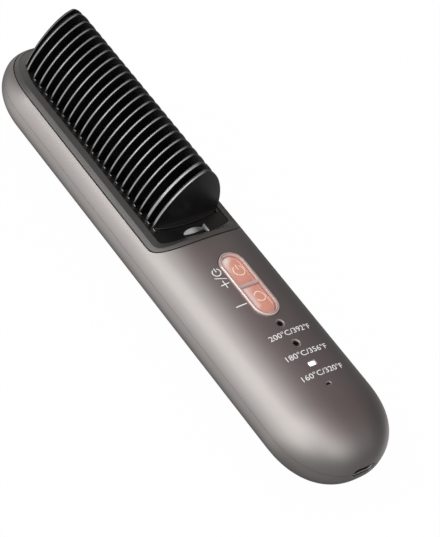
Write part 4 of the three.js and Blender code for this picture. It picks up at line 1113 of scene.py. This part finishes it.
def key_cap(side, name, node, body):
    clear = KEY_CLEARANCE
    inner = KEY_DIVIDER / 2 + clear
    flange = key_outline(side, clear - KEY_FLANGE)
    flange = [(KEYS_X + side * max(side * (x - KEYS_X), inner), y) for x, y in flange]
    loops = [level(flange, KEY_BOTTOM_Z), level(flange, KEY_FLANGE_TOP_Z)]
    loops.append(level(key_outline(side, clear), KEY_FLANGE_TOP_Z))
    edge_top = KEY_TOP_Z - KEY_DOME
    loops += [level(key_outline(side, shrink), z) for shrink, z in edge_levels(clear, edge_top, KEY_EDGE)]
    reach = KEY_RIM_HALF_WIDTH - KEY_RIM_WALL - clear - KEY_EDGE
    for k in range(1, KEY_DOME_STEPS + 1):
        share = k / KEY_DOME_STEPS
        z = edge_top + KEY_DOME * (1 - (1 - share) ** 2)
        loops.append(level(key_outline(side, clear + KEY_EDGE + reach * share * KEY_DOME_REACH), z))
    cap = new_object(name, *loft(loops))
    middle_x = KEYS_X + side * (KEY_RIM_LENGTH / 2 - KEY_RIM_WALL + KEY_DIVIDER / 2) / 2
    stem_outline = disc_outline(middle_x, 0, STEM_RADIUS, STEM_STEPS)
    stem = prism("stem", stem_outline, STEM_BOTTOM_Z, KEY_BOTTOM_Z + STEM_ROOT)
    carve(cap, ("UNION", stem))
    dress(smooth(cap, angle=KEY_SMOOTH_ANGLE), rose, "keys", body, node)


key_rim()
key_cap(-1, "power_plus_key_cap", "power_plus_key", "power_plus_key")
key_cap(1, "minus_key_cap", "minus_key", "minus_key")


# Light pipes and socket


def light_pipes():
    for k, name in enumerate(WINDOW_NAMES):
        node = f"light_pipe_{name}"
        low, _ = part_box(node)
        top = -LIT_PIPE_SINK if k == LIT_WINDOW else -PIPE_SINK
        steps = [(-PIPE_CLEARANCE, top - PIPE_EDGE), (-PIPE_CLEARANCE - PIPE_EDGE, top)]
        if k in ROUND_WINDOWS:
            steps += [(-PIPE_BORE[0], top), (-PIPE_BORE[1], top - PIPE_BORE_DEPTH)]
        loops = [level(window_outline(k, -PIPE_CLEARANCE), low.z / MM)]
        loops += [level(window_outline(k, grow), CROWN_Z + z) for grow, z in steps]
        pipe = new_object(f"{node}_lens", *loft(loops))
        dress(smooth(pipe), pipe_lit if k == LIT_WINDOW else pipe_dark, "light_pipe", "housing", node)


def in_socket(face):
    """Whether a face lies on the inner wall of the socket's shell, which takes painted shade."""
    _, y, z = face.center / MM
    past = max(abs(y) - (SOCKET_WIDTH - SOCKET_HEIGHT) / 2, 0)
    inside = math.hypot(past, z - PORT_Z) < SOCKET_HEIGHT / 2 - SOCKET_WALL * INNER_WALL_SHARE
    return inside and abs(face.normal.x) < MOUTH_SLANT


def charging_socket():
    rows = [section_at(SOCKET_START_X, port_section(grow)) for grow in (-SOCKET_WALL, 0)]
    for share in range(5):
        turn = math.pi * share / 4
        middle = port_section(-SOCKET_WALL / 2 + SOCKET_WALL / 2 * math.cos(turn))
        x = SOCKET_END_X - SOCKET_WALL / 2 + SOCKET_WALL / 2 * math.sin(turn)
        rows.append(section_at(x, middle))
    shell = new_object("usb_c_socket_shell", *loft(rows, joined=True))
    dress(smooth(shell), steel, "socket_metal", "housing", "usb_c_socket")
    # Painted shade: the socket's inner walls take the black tongue finish.
    add_finishes(shell, in_socket, tongue_black_and_socket_shade)
    base_section = port_section(-SOCKET_WALL - TONGUE_BASE_GAP)
    base_loops = [section_at(x, base_section) for x in (SOCKET_START_X, TONGUE_BASE_END_X)]
    base = new_object("usb_c_tongue_blade", *loft(base_loops))
    half = (TONGUE_WIDTH / 2, TONGUE_THICK / 2)
    loops = []
    tip = TONGUE_TIP
    for x, shrink in ((SOCKET_START_X + TONGUE_ROOT, 0), (TONGUE_END_X - tip, 0), (TONGUE_END_X, tip)):
        outline = rounded_box(0, PORT_Z, half[0] - shrink, half[1] - shrink, TONGUE_CORNER - shrink / 2)
        loops.append(section_at(x, outline))
    carve(base, ("UNION", new_object("blade", *loft(loops))))
    dress(smooth(base), tongue_black_and_socket_shade, "black_plastic", "housing", "usb_c_tongue")


light_pipes()
charging_socket()


# Legends


def stroke_mesh(lines, width, height, surface):
    """Flat strokes with round ends over a surface, as closed ribbons of a small height."""
    points, faces = [], []
    for line in lines:
        sides = ribbon(line, width)
        start = len(points)
        count = len(sides)
        points += [(x, y, surface(x, y) - SIGN_SINK) for x, y in sides]
        points += [(x, y, surface(x, y) + height) for x, y in sides]
        half = count // 2
        for k in range(half - 1):
            a, b, c, d = k, k + 1, count - 2 - k, count - 1 - k
            faces.append((start + a, start + b, start + c, start + d))
            faces.append((start + count + d, start + count + c, start + count + b, start + count + a))
        for k in range(count):
            j = (k + 1) % count
            faces.append((start + k, start + count + k, start + count + j, start + j))
    return points, faces


def ribbon(line, width):
    """Left side forwards, then right side back, of a line with rounded ends."""
    line = [np.array(p, float) for p in line]
    if len(line) == 2:
        line = [line[0] + (line[1] - line[0]) * share for share in np.linspace(0, 1, STRAIGHT_POINTS)]
    stops = [(line[0], line[1] - line[0], -turn) for turn in END_TURNS[::-1]]
    for k, place in enumerate(line):
        stops.append((place, line[min(k + 1, len(line) - 1)] - line[max(k - 1, 0)], 0))
    stops += [(line[-1], line[-1] - line[-2], turn) for turn in END_TURNS]
    left, right = [], []
    for place, ahead, turn in stops:
        ahead = ahead / np.linalg.norm(ahead) * width / 2
        side = np.array((-ahead[1], ahead[0])) * math.cos(math.radians(turn))
        middle = place + ahead * math.sin(math.radians(turn))
        left.append(tuple(middle + side))
        right.append(tuple(middle - side))
    return left + right[::-1]


def arc_line(x, y, radius, start, end, steps=40):
    turns = [math.radians(start + (end - start) * k / steps) for k in range(steps + 1)]
    return [(x + radius * math.cos(t), y + radius * math.sin(t)) for t in turns]


def power_sign(x, y, radius):
    """An open ring whose gap faces the head, with a short bar in the gap."""
    bar = [(x - radius * 1.15, y), (x - radius * 0.2, y)]
    return [arc_line(x, y, radius, -SIGN_HALF_TURN, SIGN_HALF_TURN), bar]


def marks(name, lines, width, height, surface, material, slot, body):
    piece = new_object(name, *stroke_mesh(lines, width, height, surface))
    dress(smooth(piece), material, slot, body)


def key_face(x, y):
    """Height of a key's domed face."""
    side = 1 if x > KEYS_X else -1
    along, wall = side * (x - KEYS_X), KEY_RIM_HALF_WIDTH - KEY_RIM_WALL
    past = max(along - (KEY_RIM_LENGTH / 2 - KEY_RIM_HALF_WIDTH), 0)
    inwards = min(along - KEY_DIVIDER / 2, wall - math.hypot(past, y)) - KEY_CLEARANCE - KEY_EDGE
    share = max(inwards, 0) / (wall - KEY_CLEARANCE - KEY_EDGE)
    return KEY_TOP_Z - KEY_DOME * (1 - min(share, KEY_DOME_REACH)) ** 2 - KEY_SIGN_SINK


def crown_marks():
    on_crown = (crown_height, ink, "light_pipe", "housing")
    marks("legend_power", power_sign(*POWER_SIGN), SIGN_WIDTH, SIGN_HEIGHT, *on_crown)
    marks("legend_divider", [SLASH], SLASH_WIDTH, SIGN_HEIGHT, *on_crown)
    for k, line in enumerate(PLUS_SIGN):
        marks(f"legend_plus_{k}", [line], SIGN_WIDTH, SIGN_HEIGHT + CROSS_LIFT * k, *on_crown)
    marks("legend_minus", [MINUS_SIGN], MINUS_WIDTH, SIGN_HEIGHT, *on_crown)
    on_key = (KEY_SIGN_HEIGHT, key_face, key_ink, "keys")
    marks("key_mark_power", power_sign(*KEY_POWER_SIGN), KEY_SIGN_WIDTH, *on_key, "power_plus_key")
    marks("key_mark_minus", [arc_line(*KEY_RING)], KEY_RING_WIDTH, *on_key, "minus_key")


def text_lines():
    """Temperatures across the handle, each letter laid on the crown."""
    for number, (words, x) in enumerate(HEAT_TEXTS, 1):
        curve = bpy.data.curves.new(f"heat_text_{number}", "FONT")
        curve.body = words
        curve.size = TEXT_SIZE
        curve.align_x = "CENTER"
        curve.align_y = "CENTER"
        curve.extrude = TEXT_HEIGHT
        curve.resolution_u = 6
        flat = add_to_scene("flat_text", curve)
        bpy.context.view_layer.update()
        depsgraph = bpy.context.evaluated_depsgraph_get()
        mesh = bpy.data.meshes.new_from_object(flat.evaluated_get(depsgraph))
        bpy.data.objects.remove(flat)
        width = max(v.co.x for v in mesh.vertices) - min(v.co.x for v in mesh.vertices)
        stretch = TEXT_LENGTH / width
        for vertex in mesh.vertices:
            across, along, rise = vertex.co
            px, py = x - along, TEXT_MIDDLE_Y + across * stretch
            vertex.co = (px * MM, py * MM, (crown_height(px, py) + rise - TEXT_SINK) * MM)
        mesh.update()
        dress(add_to_scene(f"heat_text_{number}", mesh), ink, "light_pipe", "housing")


crown_marks()
text_lines()
upper_shell()
back_shell()


# Stage and lights


def stage_floor():
    """White to the camera, paper to everything else, but clear to gloss and from below."""
    size, z = FLOOR_HALF, FLOOR_Z * MM
    corners = [(-size, -size, z), (size, -size, z), (size, size, z), (-size, size, z)]
    mesh = bpy.data.meshes.new("floor")
    mesh.from_pydata(corners, [], [(0, 1, 2, 3)])
    floor = add_to_scene("floor", mesh)
    material = bpy.data.materials.new("floor_paper")
    material.use_nodes = True
    nodes, links = material.node_tree.nodes, material.node_tree.links
    nodes.clear()
    path = nodes.new("ShaderNodeLightPath").outputs
    backfacing = nodes.new("ShaderNodeNewGeometry").outputs["Backfacing"]
    fibre = noise(nodes, links, nodes.new("ShaderNodeTexCoord").outputs["Object"], FIBRE_SCALE)
    tones = ramp(nodes, linear(0xF4F4F3), linear(0xFAFAF9))
    links.new(fibre.outputs["Fac"], tones.inputs["Fac"])
    paper = nodes.new("ShaderNodeBsdfDiffuse")
    links.new(tones.outputs["Color"], paper.inputs["Color"])
    glow = nodes.new("ShaderNodeEmission")
    glow.inputs["Color"].default_value = WHITE
    glow.inputs["Strength"].default_value = 1.0
    clear = nodes.new("ShaderNodeBsdfTransparent")
    seen = math_node(nodes, links, "MAXIMUM", path["Is Camera Ray"], path["Is Transmission Ray"])
    share = math_node(nodes, links, "MULTIPLY", seen, FLOOR_GLOW_SHARE)
    hidden = math_node(nodes, links, "MAXIMUM", path["Is Glossy Ray"], backfacing)
    white = mix_shaders(nodes, links, share, paper.outputs[0], glow.outputs[0])
    surface = mix_shaders(nodes, links, hidden, white, clear.outputs[0])
    links.new(surface, nodes.new("ShaderNodeOutputMaterial").inputs["Surface"])
    mesh.materials.append(material)


def background(nodes, tint, strength=1.0):
    node = nodes.new("ShaderNodeBackground")
    node.inputs["Color"].default_value = tint
    node.inputs["Strength"].default_value = strength
    return node


def studio_world():
    """White to the camera; to gloss, a dim room with soft lights; to everything else, even light."""
    world = bpy.data.worlds.new("studio")
    bpy.context.scene.world = world
    world.use_nodes = True
    nodes, links = world.node_tree.nodes, world.node_tree.links
    nodes.clear()
    path = nodes.new("ShaderNodeLightPath").outputs
    direction = nodes.new("ShaderNodeTexCoord").outputs["Generated"]
    room = nodes.new("ShaderNodeAddShader")
    for k, (lights, tint) in enumerate(((ROOM_LIGHTS, WHITE), (ROOM_BLUSH, BLUSH_TINT))):
        part = background(nodes, tint)
        links.new(light_sum(nodes, links, direction, lights), part.inputs["Strength"])
        links.new(part.outputs[0], room.inputs[k])
    ambient, white = background(nodes, WHITE, AMBIENT), background(nodes, WHITE)
    seen = math_node(nodes, links, "MAXIMUM", path["Is Camera Ray"], path["Is Transmission Ray"])
    lit = mix_shaders(nodes, links, path["Is Glossy Ray"], ambient.outputs[0], room.outputs[0])
    surface = mix_shaders(nodes, links, seen, lit, white.outputs[0])
    links.new(surface, nodes.new("ShaderNodeOutputWorld").inputs["Surface"])


def light_sum(nodes, links, direction, lights):
    """The brightness of all lights together in a direction, never below zero."""
    total = 0.0
    for turn, height, tightness, bright in lights:
        turn, height = math.radians(turn), math.radians(height)
        ahead, side = math.cos(turn) * math.cos(height), math.sin(turn) * math.cos(height)
        facing = facing_share(nodes, links, direction, (ahead, side, math.sin(height)))
        falloff = math_node(nodes, links, "MULTIPLY_ADD", facing, tightness, -tightness)
        glow = math_node(nodes, links, "EXPONENT", falloff)
        total = math_node(nodes, links, "MULTIPLY_ADD", glow, bright, total)
    return math_node(nodes, links, "MAXIMUM", total, 0.0)


def softbox(name, direction, distance, width, height, radiance):
    """An area lamp that faces the object, its power set from how bright it looks."""
    lamp = bpy.data.lights.new(name, "AREA")
    lamp.shape = "RECTANGLE"
    lamp.size = width
    lamp.size_y = height
    lamp.energy = radiance * math.pi * width * height
    lamp_object = add_to_scene(name, lamp)
    away = Vector(direction).normalized()
    lamp_object.location = away * distance
    lamp_object.rotation_euler = away.to_track_quat("Z", "Y").to_euler()


stage_floor()
studio_world()
softbox("side_strip", (-0.41, -0.80, 0.42), 1.4, 0.22, 1.2, 5.0)
